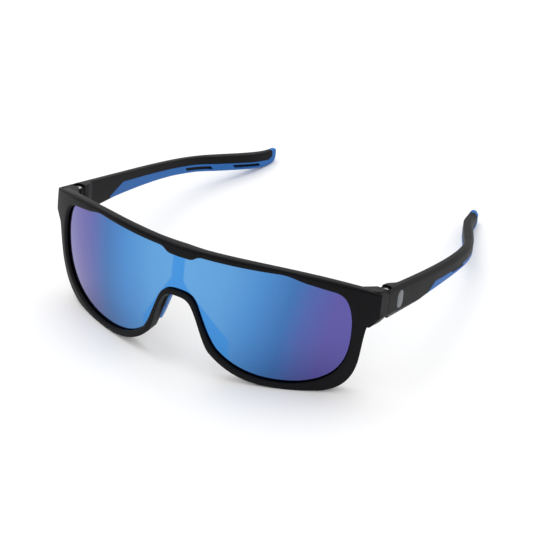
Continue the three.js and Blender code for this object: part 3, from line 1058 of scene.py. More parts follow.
@dataclass
class FrontShape:
    """The outlines of the front, drawn flat."""

    layout: Layout
    side_rim: float = 3.2
    bottom_rim: float = 2.4
    top_rim: float = 2.5
    bridge_rim: float = 2.0
    end_width: float = 4.6
    end_height: float = 9.0
    opening_top: float = 20.6
    opening_bottom: float = -26.3
    bridge_top: float = 4.8
    brow_tab: float = 2.1
    brow_drop: float = 1.9
    trim: float = 2.0

    @property
    def opening_width(self) -> float:
        """Half the width of the lens opening."""
        return self.layout.half_width - self.end_width - self.side_rim

    def opening(self) -> dict[str, Points]:
        """The right half of the opening, from the middle of the brow to the nose bridge.

        Returns:
            The stretches brow, corner, sweep, nose and bridge.
        """
        w, t, b, n = self.opening_width, self.opening_top, self.opening_bottom, self.bridge_top
        tab = self.brow_tab
        brow = chain(
            (0, t - tab),
            [(4, t - 0.95 * tab)],
            [(6.5, t - 0.9 * tab), (6.5, t), (9.5, t)],
            [(w - 25.8, t)],
            [(w - 20.5, t), (w - 19, t - 2), (w - 13.8, t - 3.1)],
            [(w - 6.3, t - 5.3)],
        )
        corner = chain(brow[-1], [(w - 2.3, t - 6.6), (w - 0.8, t - 10.5), (w, t - 17.5)])
        sweep = chain(
            corner[-1],
            [(w + 0.3, b + 20), (w - 0.8, b + 12.5), (w - 5.2, b + 7.3)],
            [(w - 8.3, b + 3.5), (w - 15, b), (w - 24.8, b)],
            [(w - 32.8, b), (22.5, b + 2.2), (16, b + 9.2)],
        )
        nose = chain(sweep[-1], [(12.5, b + 14.2), (n + 6, n - 11), (n + 3.4, n - 4.6)])
        bridge = chain(nose[-1], [(n + 1.8, n - 1), (n, n), (0, n)])
        return {"brow": brow, "corner": corner, "sweep": sweep, "nose": nose, "bridge": bridge}

    def rim(self) -> dict[str, Points]:
        """The right half of the rim's outer edge in the same stretches as the opening's.

        Returns:
            The stretches brow, horn_top, horn_end, horn_foot, sweep, nose and bridge.
        """
        w, e = self.opening_width, self.layout.half_width
        t, b = self.opening_top + self.top_rim, self.opening_bottom - self.bottom_rim
        n = self.bridge_top - self.bridge_rim
        side, corner = w + self.side_rim, t - 8.4
        brow = chain((0, t), [(e - 43.4, t + 0.6), (e - 21.4, t + 0.8), (e, corner)])
        foot = (side + 1.6, corner - self.end_height - 3)
        sweep = chain(
            foot,
            [(side + 0.6, foot[1] - 2.5), (side + 0.1, b + 21.2), (side - 0.9, b + 15.7)],
            [(side - 2.7, b + 6.7), (side - 6.8, b + 1.3), (side - 15.3, b + 0.6)],
            [(side - 20.3, b + 0.1), (w - 20, b), (w - 25.8, b)],
            [(w - 35.8, b), (20, b + 3), (13.2, b + 10.8)],
        )
        nose = chain(sweep[-1], [(10.8, b + 14.6), (n + 7, n - 10), (n + 4.3, n - 4.4)])
        bridge = chain(nose[-1], [(n + 2.6, n - 0.7), (n + 1, n), (0, n)])
        upper = (e + self.trim, corner - 0.45 * self.trim)
        lower = (e + self.trim, corner - self.end_height + 0.9 * self.trim)
        return {
            "brow": brow,
            "horn_top": chain(brow[-1], [upper]),
            "horn_end": chain(upper, [lower]),
            "horn_foot": chain(lower, [foot]),
            "sweep": sweep,
            "nose": nose,
            "bridge": bridge,
        }

    def step_height(self, x: Points) -> Points:
        """Height of the brow's rear step at each distance across.

        Args:
            x: distances across.

        Returns:
            The heights.
        """
        e, t = self.layout.half_width, self.opening_top + self.top_rim
        drop = self.brow_drop
        rear = [(e - 43.4, t + 0.6 - 0.8 * drop), (e - 21.4, t + 0.6 - 1.5 * drop)]
        line = bezier([(0, t - 0.3), *rear, (e, t - 8.4 - 0.3 * drop)])
        return np.interp(x, *line.T)

    def stations(self) -> tuple[Points, Points, Points, Points]:
        """Pairs of points across the rim for its right half.

        Returns:
            Inner points, outer points, the drop behind the brow, and the strength of the brow line.
        """
        across_brow, across_corner, down_end, down_foot = 96, 24, 22, 14
        crest_end = across_brow + across_corner
        inside, outside = self.opening(), self.rim()
        brow_edge = np.vstack([outside["brow"], outside["horn_top"][1:]])
        x = np.linspace(0, inside["brow"][-1, 0], across_brow)
        top_in = np.column_stack([x, np.interp(x, *inside["brow"].T)])
        top_out = np.column_stack([x, np.interp(x, *outside["brow"].T)])
        inner, outer = [top_in], [top_out]
        reach = np.linspace(x[-1], brow_edge[-1, 0], across_corner + 1)[1:]
        inner.append(stretch(inside["corner"], across_corner + down_end + down_foot))
        outer.append(np.column_stack([reach, np.interp(reach, *brow_edge.T)]))
        outer.append(stretch(outside["horn_end"], down_end))
        outer.append(stretch(outside["horn_foot"], down_foot))
        for name, count in (("sweep", 150), ("nose", 30), ("bridge", 22)):
            inner.append(stretch(inside[name], count))
            outer.append(stretch(outside[name], count))
        inner_all, outer_all = np.concatenate(inner), np.concatenate(outer)
        number = np.arange(len(inner_all))
        at_brow = 1 - smooth(number, crest_end - 6, crest_end)
        drop = np.interp(outer_all[:, 0], *brow_edge.T) - self.step_height(outer_all[:, 0])
        return inner_all, outer_all, np.maximum(drop * at_brow, 0.05), at_brow


@dataclass
class FrontFrame:
    """The moulded front: rim, end pieces, hinge leaves and pad arms."""

    layout: Layout
    shape: FrontShape
    finish: bpy.types.Material
    rim_depth: float = 5.4
    brow_step: float = 3.6
    lip: float = 1.0  # rounding of the opening's front edge
    crest: float = 0.45  # rounding of the outer front edge
    rear_round: float = 0.45  # rounding of the two rear edges
    groove: float = 0.26  # depth of the line below the brow's crest
    lens_slot: tuple[float, float, float] = (1.2, 3.2, 1.5)  # front, back and reach

    def section(self, inner: Points, outer: Points, drop: float, line: float) -> Points:
        """One closed section of the rim.

        Args:
            inner: the point on the opening's edge.
            outer: the point on the rim's edge.
            drop: how far the rear of the top is lowered.
            line: strength of the brow line, 0 to 1.

        Returns:
            The section's points, flat.
        """
        width = float(np.linalg.norm(outer - inner))
        fit = min(1.0, width / 3.3)
        slot_front, slot_back, slot_reach = self.lens_slot
        slot_reach = min(slot_reach, 0.68 * width)
        deep, step = self.rim_depth, self.brow_step
        lip, crest, back = self.lip * fit, self.crest * fit, self.rear_round * fit
        low_edge = min(drop, 0.6 * width)
        edge = width - low_edge
        face = np.linspace(lip, width - 1.3 * fit, 8)[1:-1]
        rear = np.linspace(edge - back, back, 7)[1:-1]
        groove = ((1.25, 0.0), (1.12, 0.75), (0.98, 1.0), (0.84, 0.75), (0.7, 0.0))
        rows: list[tuple[float, float]] = [  # distance from the opening, depth
            *arc(lip, lip, lip, 180, 7),
            *((float(place), 0.0) for place in face),
            *((width - place * fit, depth * self.groove * line) for place, depth in groove),
            *arc(width - crest, crest, crest, -90, 7)[1:],
            (width, 0.5 * step),
            (width, step - 0.3),
            (width - 0.1 * low_edge, step),
            (edge, step + 0.05),
            *arc(edge - back, deep - back, back, 0, 4),
            *((float(place), deep) for place in rear),
            *arc(back, deep - back, back, 90, 4),
            (0.0, slot_back),
            (slot_reach, slot_back),
            (slot_reach, slot_front),
            (0.0, slot_front),
        ]
        across = (outer - inner) / width
        table = np.asarray(rows)
        return np.column_stack([inner + table[:, :1] * across, -table[:, 1]])

    def rim(self) -> Solid:
        """The ring round the lens, with the roots of the end pieces.

        Returns:
            The ring in the row frame.
        """
        inner, outer, drop, line = self.shape.stations()
        half = [self.section(*pair) for pair in zip(inner, outer, drop, line)]
        other = [ring * (-1, 1, 1) for ring in half[1:-1]]
        return loft(half + other[::-1], closed=True).bent(self.layout.wrap)

    def end_block(self, arm: "ArmShape") -> Solid:
        """The end piece behind the rim, in the hinge's frame.

        Args:
            arm: the temple's shape, which the block continues.

        Returns:
            The left block.
        """
        inset, seam = self.layout.hinge_inset, self.layout.seam - self.layout.seam_gap
        inner, outside = inset - self.layout.root_thickness, inset + 2.0
        slope, top = arm.top_slope, arm.top(0.0)
        planes = [
            ((0, 0, top), (0, slope, 1)),
            ((0, 0, arm.root_bottom), (0, -2.6 / FAR, -1)),
            ((outside, 0, 0), (1, 0, 0)),
            ((0, seam, 0), (0, 1, 0)),
            ((inner, seam, 0), (-6.0, 3.4, 0)),  # leads into the rim from inside
            ((inner - 3.4, -8.5, 0), (-6.0, 3.0, 0)),
            ((outside, -6.2, 0), (8.3, -13.7, 0)),  # meets the rim outside
            ((inset, 0, top - 1.5), (1.25, slope * 1.1, 1.1)),  # follows the top facet
            arm.chamfer_plane(),
        ]
        return carved(planes)

    def pad_arm(self, pads: "NosePads") -> Solid:
        """The blade that carries the left nose pad.

        Args:
            pads: the nose pads' sizes.

        Returns:
            The blade in the row frame.
        """
        half, low, high = pads.length / 2 - 2.2, -pads.width / 2 - 2.2, pads.width / 2 - 1.8
        blade = prism([(-half, low), (half, low), (half, high), (-half, high)], -0.5, 0.5, 2)
        return blade.bevelled(0.25, 2).placed(pads.matrix())

    def build(self, arm: "ArmShape", hinge: "Hinge", pads: "NosePads") -> bpy.types.Object:
        """Joins the rim with both sides' end pieces, leaves and pad arms.

        Args:
            arm: the side's shape.
            hinge: the hinge's sizes.
            pads: the nose pads' sizes.

        Returns:
            The front's piece.
        """
        opening = offset(joined_outline(self.shape.opening()), 0.35)
        room = slab(opening, -1.5, 20.0, self.layout)
        block = self.end_block(arm)
        for index in (-1, 1):
            block = block + hinge.leaf(index, self.layout.seam - 1)
        for tool in hinge.bores():
            block = block - tool
        side = block.placed(self.layout.hinge_matrix) - room
        blade = self.pad_arm(pads) - room
        whole = self.rim()
        for each in Side:
            whole = whole + side.on(each) + blade.on(each)
        far, reach = 3 * FAR, self.layout.half_width
        width = prism([(-far, -far), (far, -far), (far, far), (-far, far)], -reach, reach)
        names = ("front_shell", "frame", "frame_plastic", ["front_frame"])
        return show(whole & width, self.finish, *names)


def joined_outline(stretches: Mapping[str, Points]) -> Points:
    """One path of stretches that follow each other."""
    runs = list(stretches.values())
    return np.concatenate([runs[0], *(run[1:] for run in runs[1:])])


def slab(half: Points, front: float, back: float, layout: Layout, rows: int = 30) -> Solid:
    """A curved sheet inside a symmetric outline.

    Args:
        half: the outline's right half, from the middle of the top to the middle of the bottom.
        front: depth of its front face.
        back: depth of its back face.
        layout: what bends it.
        rows: faces from top to bottom.

    Returns:
        The sheet in the row frame.
    """
    widest = int(np.argmax(half[:, 0]))
    gap = 6
    upper, lower = half[: widest - gap], half[widest + gap :][::-1]
    turn = 0.9 * half[widest, 0]
    x = np.linspace(0, turn, 90)
    share = np.linspace(0, 1, 18)[1:]
    edges = []
    for run in (upper, lower):
        rest = np.vstack([[turn, np.interp(turn, *run.T)], run[run[:, 0] > turn]])
        start = np.column_stack([x, np.interp(x, *run.T)])
        edges.append(np.concatenate([start, respaced(rest, share)]))
    top, bottom = (np.concatenate([e[:0:-1] * (-1, 1), e]) for e in edges)
    t = np.linspace(0, 1, rows + 1)[None, :, None]
    flat = top[:, None] * (1 - t) + bottom[:, None] * t
    columns = len(top)
    grid = flat.reshape(-1, 2)
    sheets = [np.column_stack([grid, np.full(len(grid), -depth)]) for depth in (front, back)]
    number = np.arange(columns * (rows + 1)).reshape(columns, rows + 1)
    size = number.size
    faces: list[Sequence[int]] = []
    for i in range(columns - 1):
        for j in range(rows):
            a, b = number[i, j], number[i + 1, j]
            c, d = number[i + 1, j + 1], number[i, j + 1]
            faces.append((a, b, c, d))
            faces.append((d + size, c + size, b + size, a + size))
    rim = [*number[:, 0], *number[-1, 1:], *number[-2::-1, -1], *number[0, -2:0:-1]]
    for k, a in enumerate(rim):
        b = rim[(k + 1) % len(rim)]
        faces.append((a, a + size, b + size, b))
    return Solid(np.concatenate(sheets), faces).bent(layout.wrap)


@dataclass
class ShieldLens:
    """The one-piece mirrored lens."""

    layout: Layout
    shape: FrontShape
    finish: bpy.types.Material
    back_finish: bpy.types.Material
    recess: float = 1.5
    thickness: float = 1.4
    bite: float = 1.0  # how far it reaches into the rim
    rows: int = 44  # faces from top to bottom

    def build(self) -> bpy.types.Object:
        """The lens, seated in the rim's groove, with its own plastic at the back.

        Returns:
            The lens's piece.
        """
        outline = offset(joined_outline(self.shape.opening()), self.bite)
        body = slab(outline, self.recess, self.recess + self.thickness, self.layout, self.rows)
        names = ("mirror_lens", "frame", "mirror_lens", ["shield_lens"])
        piece = show(body, self.finish, *names)
        piece.data.materials.append(self.back_finish)
        front = piece.data.polygons[0].normal.y
        for polygon in piece.data.polygons:
            polygon.material_index = int(polygon.normal.y * front < 0.05)
        return piece


# ---- The sides -----------------------------------------------------------------------------


@dataclass
class ArmShape:
    """The shape of a temple with its grip, drawn straight: X out, Y along and Z up the hinge."""

    layout: Layout
    length: float = 121.0
    thickness: float = 3.4
    top_height: float = 4.6
    top_slope: float = 0.189
    top_lift: float = 2.7
    root_bottom: float = -9.0
    tail_height: float = 6.8
    tip_bend: float = 21.4
    tip_hook: float = 0.8
    root_length: float = 10.0
    bulge: float = 0.8  # how far the rear of the grip swells towards the head

    def top(self, along: Points | float) -> Points:
        """Height of the top edge."""
        return self.top_height - self.top_slope * along + self.top_lift * (along / 100) ** 2

    def tail_bottom(self, along: Points | float) -> Points:
        """Height of the rear half's bottom edge."""
        return self.top(along) - self.tail_height

    def over_tail(self, along: float, height: float) -> float:
        """Height of a line that runs above the rear half's bottom edge."""
        return float(self.tail_bottom(along)) + height

    def chamfer_plane(self) -> tuple[Vector, Vector]:
        """A point on the underside chamfer and the way out of it.

        Returns:
            The point and the direction.
        """
        x = self.layout.hinge_inset
        start = Vector((x, -10.9, -3.6))
        end = Vector((x, 27, self.root_bottom - 0.6))
        inboard = Vector((x - 3.6, -12.5, -8.3))
        out = (inboard - start).cross(end - start).normalized()
        return start, out if out.x > 0 else -out

    def below_chamfer(self) -> Solid:
        """What the underside chamfer takes away.

        Returns:
            The body under the plane.
        """
        start, out = self.chamfer_plane()
        far = 0.98 * FAR
        axes = [Vector(float(i == axis) for i in range(3)) for axis in range(3)]
        bounds = [sign * far * axis for axis in axes for sign in (1, -1)]
        return carved([(start, -out), *((spot, spot) for spot in bounds)])

    def edges(self) -> tuple[Points, Points]:
        """The top and bottom edges as points of length and height.

        Returns:
            The top edge and the bottom edge.
        """
        end, hook, curl = self.length, self.tip_hook, self.length - 9
        peak = float(self.top(end))
        tip = (end, peak - 1.8)
        front, blend = -4, 66  # where the edges begin, and where the bottom joins the tail
        top = chain(
            (front, float(self.top(front))),
            *[[(s, float(self.top(s)))] for s in np.linspace(front, curl, 120)[1:]],
            [(end - 4, float(self.top(end - 4))), (end - 1.4, peak + hook)],
            [(end, peak + 0.8 * hook), tip],
        )
        bottom = chain(
            (front, self.root_bottom + 0.17),
            [(0, self.root_bottom)],
            [(27, self.root_bottom - 0.8)],
            [(42, -10.9), (54, self.over_tail(54, -0.4)), (blend, self.over_tail(blend, 0))],
            *[[(s, self.over_tail(s, 0))] for s in np.linspace(blend, curl, 80)[1:]],
            [(end - 4, self.over_tail(end - 5, 0)), (end - 0.5, peak - 5.5), tip],
        )
        return top, bottom

    def section(self, along: float, top: float, bottom: float) -> Points:
        """The arm's section at one length.

        Args:
            along: the length.
            top: height of the top edge there.
            bottom: height of the bottom edge there.

        Returns:
            The section's points.
        """
        outer = self.layout.hinge_inset
        root = 1 - smooth(along, 4.0, self.root_length)
        inner = outer - self.thickness
        inner -= (self.layout.root_thickness - self.thickness) * float(root)
        swell = float(smooth(along, 80, 92) * (1 - smooth(along, 106, 117)))
        inner -= self.bulge * swell
        end = max(0.0, (along - self.length + 2.6) / 2.6)
        squeeze = 0.42 * self.thickness * (1 - math.sqrt(max(0.0, 1 - end * end)))
        outer, inner = outer - squeeze, inner + squeeze
        height, width = top - bottom, outer - inner
        fit = min(1.0, height / 4.5, width / 2.6)
        keel = (0.12 + 0.78 * float(smooth(along, 14, 34))) * fit  # crisp at the root
        heel, brow = 0.9 * fit, 0.55 * fit
        facet = ((0.0, 1.62), (0.07, 1.38), (0.24, 1.14), (0.9, 0.22), (1.08, 0.06), (1.3, 0.0))
        table = np.asarray(
            [
                *arc(outer - keel, bottom + keel, keel, -90, 7),
                (outer, bottom + 0.55 * height),
                *((outer - x * fit, top - z * fit) for x, z in facet),
                *arc(inner + brow, top - brow, brow, 90, 6),
                (inner - 0.06 * fit, bottom + 0.5 * height),
                *arc(inner + heel, bottom + heel, heel, 180, 7),
            ]
        )
        return np.column_stack([table[:, 0], np.full(len(table), along), table[:, 1]])

    def body(self) -> Solid:
        """The whole arm, straight.

        Returns:
            The arm with its root and its tip.
        """
        start, end, tip = self.layout.seam + self.layout.seam_gap, self.length, 4
        closer = np.sin(np.linspace(0, math.pi / 2, 18)[1:])  # packs the last sections
        shaft = np.linspace(start, end - tip, 130)
        run = np.concatenate([shaft, end - tip * (1 - closer) - 0.006])
        top, bottom = self.edges()
        tops, bottoms = np.interp(run, *top.T), np.interp(run, *bottom.T)
        return loft([self.section(*row) for row in zip(run, tops, bottoms)])

    def curve(self, points: Points) -> Points:
        """Bends straight arm points to the plan curve, in the hinge's frame.

        Args:
            points: corners of the straight arm.

        Returns:
            The bent corners.
        """
        inset = self.layout.hinge_inset

        def plan(inboard: float, from_end: float) -> np.ndarray:
            """A control point, by its share of the tip's bend and its place from the end."""
            return np.array([inset - inboard * self.tip_bend, self.length + from_end])

        bend_start, bend_end = plan(0.25, -40), plan(0.75, -17)
        onward = 1.2 * bend_end - 0.2 * bend_start
        face = chain(
            (inset, self.layout.seam),
            [plan(0, -38), bend_start, bend_end],
            [onward, plan(0.98, -6), plan(1.005, 3)],
        )
        t = np.linspace(0, 1, 900)
        face = respaced(face, t)
        slope = np.gradient(face, axis=0)
        slope /= np.linalg.norm(slope, axis=1)[:, None]
        at = np.interp(points[:, 1], face[:, 1], t)
        place = np.column_stack([np.interp(at, t, face[:, i]) for i in (0, 1)])
        along = np.column_stack([np.interp(at, t, slope[:, i]) for i in (0, 1)])
        before = np.minimum(points[:, 1] - face[0, 1], 0)
        depth = inset - points[:, 0]
        return np.column_stack(
            [
                place[:, 0] - along[:, 1] * depth,
                place[:, 1] + along[:, 0] * depth + before,
                points[:, 2],
            ]
        )


@dataclass
class Hinge:
    """The three-leaf screw hinge, in the hinge's own frame."""

    layout: Layout
    radius: float = 2.1
    leaf_height: float = 3.0
    leaf_centre: float = -1.2
    gap: float = 0.3
    screw_radius: float = 0.7
    head_radius: float = 1.25
    head_height: float = 0.8
    slot_width: float = 0.35
    insert_radius: float = 1.25
    insert_length: float = 2.2
    clearance: float = 0.12
    knurls: int = 28

    def low(self, index: int) -> float:
        """Bottom of the lower (-1), middle (0) or upper (1) leaf."""
        return self.leaf_centre - self.leaf_height / 2 + index * (self.leaf_height + self.gap)

    @property
    def top(self) -> float:
        """Top face of the upper leaf."""
        return self.low(1) + self.leaf_height

    def leaf(self, index: int, reach: float) -> Solid:
        """A knuckle with an arm, relieved where the other half folds past.

        Args:
            index: which leaf.
            reach: how far along the arm runs, behind or in front of the axis.

        Returns:
            The leaf.
        """
        low, high = self.low(index), self.low(index) + self.leaf_height
        r, side = self.radius, math.copysign(1.0, reach)
        root = self.layout.root_thickness - self.layout.hinge_inset + self.gap
        plan = [(r, reach), (r, 0), (0, 0), (-0.57 * r, 0.9 * r * side), (-r, root * side)]
        arm = prism([*plan, (-r, reach)], low, high, 2)
        soft = 0.22
        rounding = ((soft, 0.0), (0.3 * soft, 0.3 * soft), (0.0, soft))
        lower = [(r - inward, low + up) for inward, up in rounding]
        upper = [(r - inward, high - down) for inward, down in rounding[::-1]]
        return lathe([(0, low), *lower, *upper, (0, high)], 72) + arm

    def bores(self) -> list[Solid]:
        """What the screw, its head and the insert take out of the leaves.

        Returns:
            The bodies to remove.
        """
        clear = self.clearance
        head = rod(self.head_radius + clear, self.top - self.head_height - clear, FAR)
        insert = rod(self.insert_radius + clear, -FAR, self.low(-1) + self.insert_length + clear)
        return [self.bore(), head, insert]

    def bore(self) -> Solid:
        """The bore for the shank."""
        return rod(self.screw_radius + self.clearance, -FAR, FAR, 40)

    def screw(self) -> Solid:
        """A slotted screw with a rounded head edge and a threaded end.

        Returns:
            The screw, in the hinge's frame.
        """
        r, h, top = self.screw_radius, self.head_radius, self.top
        under, low = top - self.head_height, self.low(-1) + 0.4
        profile = [(0, low), (r - 0.22, low), (r - 0.08, low + 0.15)]
        pitch, turns = 0.3, 9
        for k in range(turns):
            base = low + 0.25 + k * pitch
            profile += [(r - 0.1, base), (r, base + 0.12), (r, base + 0.16)]
        runout = low + turns * pitch
        profile += [(r - 0.1, runout + 0.3), (r - 0.02, runout + 0.5)]
        profile += [(r - 0.02, under), (h - 0.06, under), (h, under + 0.06), (h, top - 0.16)]
        profile += [(h - 0.05, top - 0.05), (h - 0.18, top), (0, top)]
        half, floor = self.slot_width / 2, top - 0.4
        slot = prism([(-half, floor), (half, floor), (half, top + 1), (-half, top + 1)], -2, 2)
        return lathe(profile, 56) - slot

    def insert_core(self) -> Solid:
        """The insert's plain sleeve, with chamfered ends.

        Returns:
            The sleeve, in the hinge's frame.
        """
        low, high = self.low(-1) + 0.1, self.low(-1) + self.insert_length
        r, c = self.insert_radius - self.clearance, 0.15
        lower, upper = [(0, low), (r - c, low), (r, low + c)], [(r, high - c), (r - c, high)]
        return lathe([*lower, *upper, (0, high)], 56) - self.bore()

    def knurled(self, core: Solid, finish: bpy.types.Material) -> Solid:
        """The insert with a ring of ridges made by Geometry Nodes.

        Args:
            core: the plain sleeve.
            finish: the ridges' material.

        Returns:
            The sleeve and ridges as one body.
        """
        low, high = self.low(-1) + 0.35, self.low(-1) + self.insert_length - 0.25
        sizes = {
            "Radius": self.insert_radius - 0.14,
            "Height": high - low,
            "Base": (low + high) / 2,
            "Ridge": 0.17,
            "Count": self.knurls,
        }
        return core + repeated_ridges(sizes, finish)


def repeated_ridges(sizes: Mapping[str, float | int], finish: bpy.types.Material) -> Solid:
    """A ring of upright ridges.

    Args:
        sizes: Radius, Height, Base, Ridge and Count, in millimetres where they are lengths.
        finish: the ridges' material.

    Returns:
        The ridges.
    """
    tree = bpy.data.node_groups.new("ridge_ring", "GeometryNodeTree")
    sockets = {}
    for name, value in sizes.items():
        kind = "NodeSocketInt" if isinstance(value, int) else "NodeSocketFloat"
        sockets[name] = tree.interface.new_socket(name, in_out="INPUT", socket_type=kind)
    tree.interface.new_socket("Geometry", in_out="OUTPUT", socket_type="NodeSocketGeometry")
    add, link = tree.nodes.new, tree.links.new
    given, result = add("NodeGroupInput"), add("NodeGroupOutput")
    ring = add("GeometryNodeMeshCircle")
    link(given.outputs["Count"], ring.inputs["Vertices"])
    link(given.outputs["Radius"], ring.inputs["Radius"])
    ridge = add("GeometryNodeMeshCylinder")
    ridge.inputs["Vertices"].default_value = 6
    link(given.outputs["Ridge"], ridge.inputs["Radius"])
    link(given.outputs["Height"], ridge.inputs["Depth"])
    spread = add("GeometryNodeInstanceOnPoints")
    link(ring.outputs["Mesh"], spread.inputs["Points"])
    link(ridge.outputs["Mesh"], spread.inputs["Instance"])
    rise = add("ShaderNodeCombineXYZ")
    link(given.outputs["Base"], rise.inputs["Z"])
    lift = add("GeometryNodeTransform")
    link(spread.outputs["Instances"], lift.inputs["Geometry"])
    link(rise.outputs[0], lift.inputs["Translation"])
    real = add("GeometryNodeRealizeInstances")
    link(lift.outputs[0], real.inputs[0])
    dressed = add("GeometryNodeSetMaterial")
    dressed.inputs["Material"].default_value = finish
    link(real.outputs[0], dressed.inputs["Geometry"])
    link(dressed.outputs[0], result.inputs[0])
    holder = bpy.data.objects.new("ridges", bpy.data.meshes.new("ridges"))
    bpy.context.scene.collection.objects.link(holder)
    modifier = holder.modifiers.new("ridges", "NODES")
    modifier.node_group = tree
    for name, value in sizes.items():
        modifier[sockets[name].identifier] = value
    made = Solid.from_mesh(evaluated_mesh(holder))
    holder.modifiers.clear()
    discard(holder)
    return made


@dataclass
class Temple:
    """One temple with its rubber grip and its metal inlay."""

    layout: Layout
    arm: ArmShape
    hinge: Hinge
    nylon: bpy.types.Material
    rubber: bpy.types.Material
    metal: bpy.types.Material
    line: float = 0.05  # half the visible line between nylon and rubber
    inner_start: float = 31.5
    outer_start: float = 38.0
    inner_height: float = 3.2
    outer_height: float = 1.9
    wall: float = 0.75
    cap: float = 5.5
    slot_height: float = 1.5
    slot_above: float = 1.9  # height of a slot's middle over the arm's bottom
    slot_lean: float = 1.1
    inner_slots: tuple[tuple[float, float], ...] = ((74, 89), (98, 111))
    outer_slot: tuple[float, float] = (54, 68)
    inlay_width: float = 4.4
    inlay_height: float = 7.2
    inlay_thickness: float = 0.7
    inlay_proud: float = 0.1
    inlay_at: tuple[float, float] = (7.0, -2.2)

    @property
    def middle(self) -> float:
        """X of the plane between the arm's inner and outer halves."""
        return self.layout.hinge_inset - self.arm.thickness / 2

    def grip_half(
        self, start: float, height: float, clear: float, low: float, high: float
    ) -> Solid:
        """Everything that belongs to the grip on one half of the arm.

        Args:
            start: where the grip's upper edge begins.
            height: of that edge above the arm's bottom.
            clear: how far the border is moved into the grip.
            low: smallest X.
            high: largest X.

        Returns:
            The tool, straight.
        """
        end = self.arm.length - self.cap + clear
        corner, rear = (self.arm.over_tail(place, height - clear) for place in (start, end))
        outline = [
            (start - 9 + clear, -FAR),
            (start - 9 + clear, corner - 3.4),
            (start + clear, corner),
            (end, rear),
            (end + 2, rear + 1.2),
            (end, FAR),
            (self.arm.length + FAR, FAR),
            (self.arm.length + FAR, -FAR),
        ]
        return prism(outline, low, high)

    def grip_space(self, clear: float) -> Solid:
        """The grip's whole share of the arm.

        Args:
            clear: how far its border is moved into the grip.

        Returns:
            The body, straight.
        """
        inner = self.grip_half(self.inner_start, self.inner_height, clear, -FAR, self.middle)
        outer = self.grip_half(self.outer_start, self.outer_height, clear, self.middle, FAR)
        return inner + outer

    def web(self, grow: float) -> Solid:
        """The temple's thin web inside the grip.

        Args:
            grow: clearance added all round.

        Returns:
            The web, straight.
        """
        start, end = self.inner_start - 14, self.arm.length - self.cap + 1 + grow
        arm, outer = self.arm, self.layout.hinge_inset
        outline = [
            (start, arm.root_bottom + 1),
            (40, arm.over_tail(40, 1.6 - grow)),
            (end, arm.over_tail(end, 1.3 - grow)),
            (end, float(arm.top(end)) - 2),
            (start, float(arm.top(start)) - 2),
        ]
        low = outer - arm.thickness + self.wall + 0.1 - grow
        return prism(outline, low, outer - self.wall - 0.1 + grow)

    def slot(self, span: tuple[float, float], low: float, high: float, grow: float) -> Solid:
        """One slot with slanted ends, or the rib that shows in it.

        Args:
            span: where it begins and ends.
            low: smallest X.
            high: largest X.
            grow: clearance added all round.

        Returns:
            The body, straight.
        """
        start, end = span
        first, last = (self.arm.over_tail(place, self.slot_above) for place in span)
        half, lean = self.slot_height / 2 + grow, self.slot_lean
        outline = [
            (start + lean - grow, first - half),
            (end, last - half),
            (end - lean + grow, last + half),
            (start - grow, first + half),
        ]
        return prism(outline, low, high)

    def inlay_plate(self, grow: float) -> Solid:
        """The inlay's outline as a plate, or its pocket when it is grown.

        Args:
            grow: clearance added all round, 0 for the plate itself.

        Returns:
            The body, straight.
        """
        along, above = self.inlay_at
        half, outer = self.inlay_width / 2, self.layout.hinge_inset
        rise = self.inlay_height / 2 - half
        upper = arc(along, above + rise, half + grow, 0, 25, 180)
        lower = arc(along, above - rise, half + grow, 180, 25, 180)
        deep = outer - self.inlay_thickness - grow
        return prism(upper + lower, deep, outer + (FAR if grow else self.inlay_proud))

    def nylon_body(self) -> Solid:
        """The temple's moulded part, straight.

        Returns:
            The temple without its grip, inlay and screw.
        """
        arm = self.arm.body()
        inset, r = self.layout.hinge_inset, self.hinge.radius + self.hinge.gap
        skin = inset - 0.9
        room = prism([(-FAR, -FAR), (skin, -FAR), (skin, 0), (-FAR, 0)], -FAR, FAR, 2)
        shell = arm - self.grip_space(0) - room - rod(r, -FAR, FAR)
        shell = shell - self.arm.below_chamfer() + self.web(0)
        inner_face = inset - self.arm.thickness
        for span in self.inner_slots:
            shell = shell + self.slot(span, inner_face + 0.3, self.middle, 0)
        shell = shell + self.slot(self.outer_slot, self.middle, inset - 0.25, 0)
        shell = shell + self.hinge.leaf(0, 4)
        return shell - self.hinge.bore() - self.inlay_plate(0.1)

    def rubber_body(self) -> Solid:
        """The overmoulded grip, straight.

        Returns:
            The grip, clear of the nylon.
        """
        skin = self.arm.body() & self.grip_space(2 * self.line)
        skin = skin - self.arm.below_chamfer() - self.web(0.05)
        for span in self.inner_slots:
            skin = skin - self.slot(span, -FAR, self.middle + 0.1, 0.06)
        skin = skin - self.slot(self.outer_slot, self.middle - 0.1, FAR, 0.06)
        dimple = rod(0.45, 2.6, FAR, 24).placed(Matrix.Rotation(math.pi / 2, 4, "Y"))
        at = self.arm.length - 3.6
        spot = Matrix.Translation((0, at, float(self.arm.top(at)) - 3.4))
        return skin - dimple.placed(spot)

    def curved(self, straight: Solid) -> Solid:
        """A straight body bent to the arm's plan curve and stood in the row frame.

        Args:
            straight: the body to bend.

        Returns:
            The body in its place.
        """
        places = np.arange(8.0, self.arm.length, 2.0)
        bent = straight.sliced(1, places).bent(self.arm.curve)
        return bent.placed(self.layout.hinge_matrix)

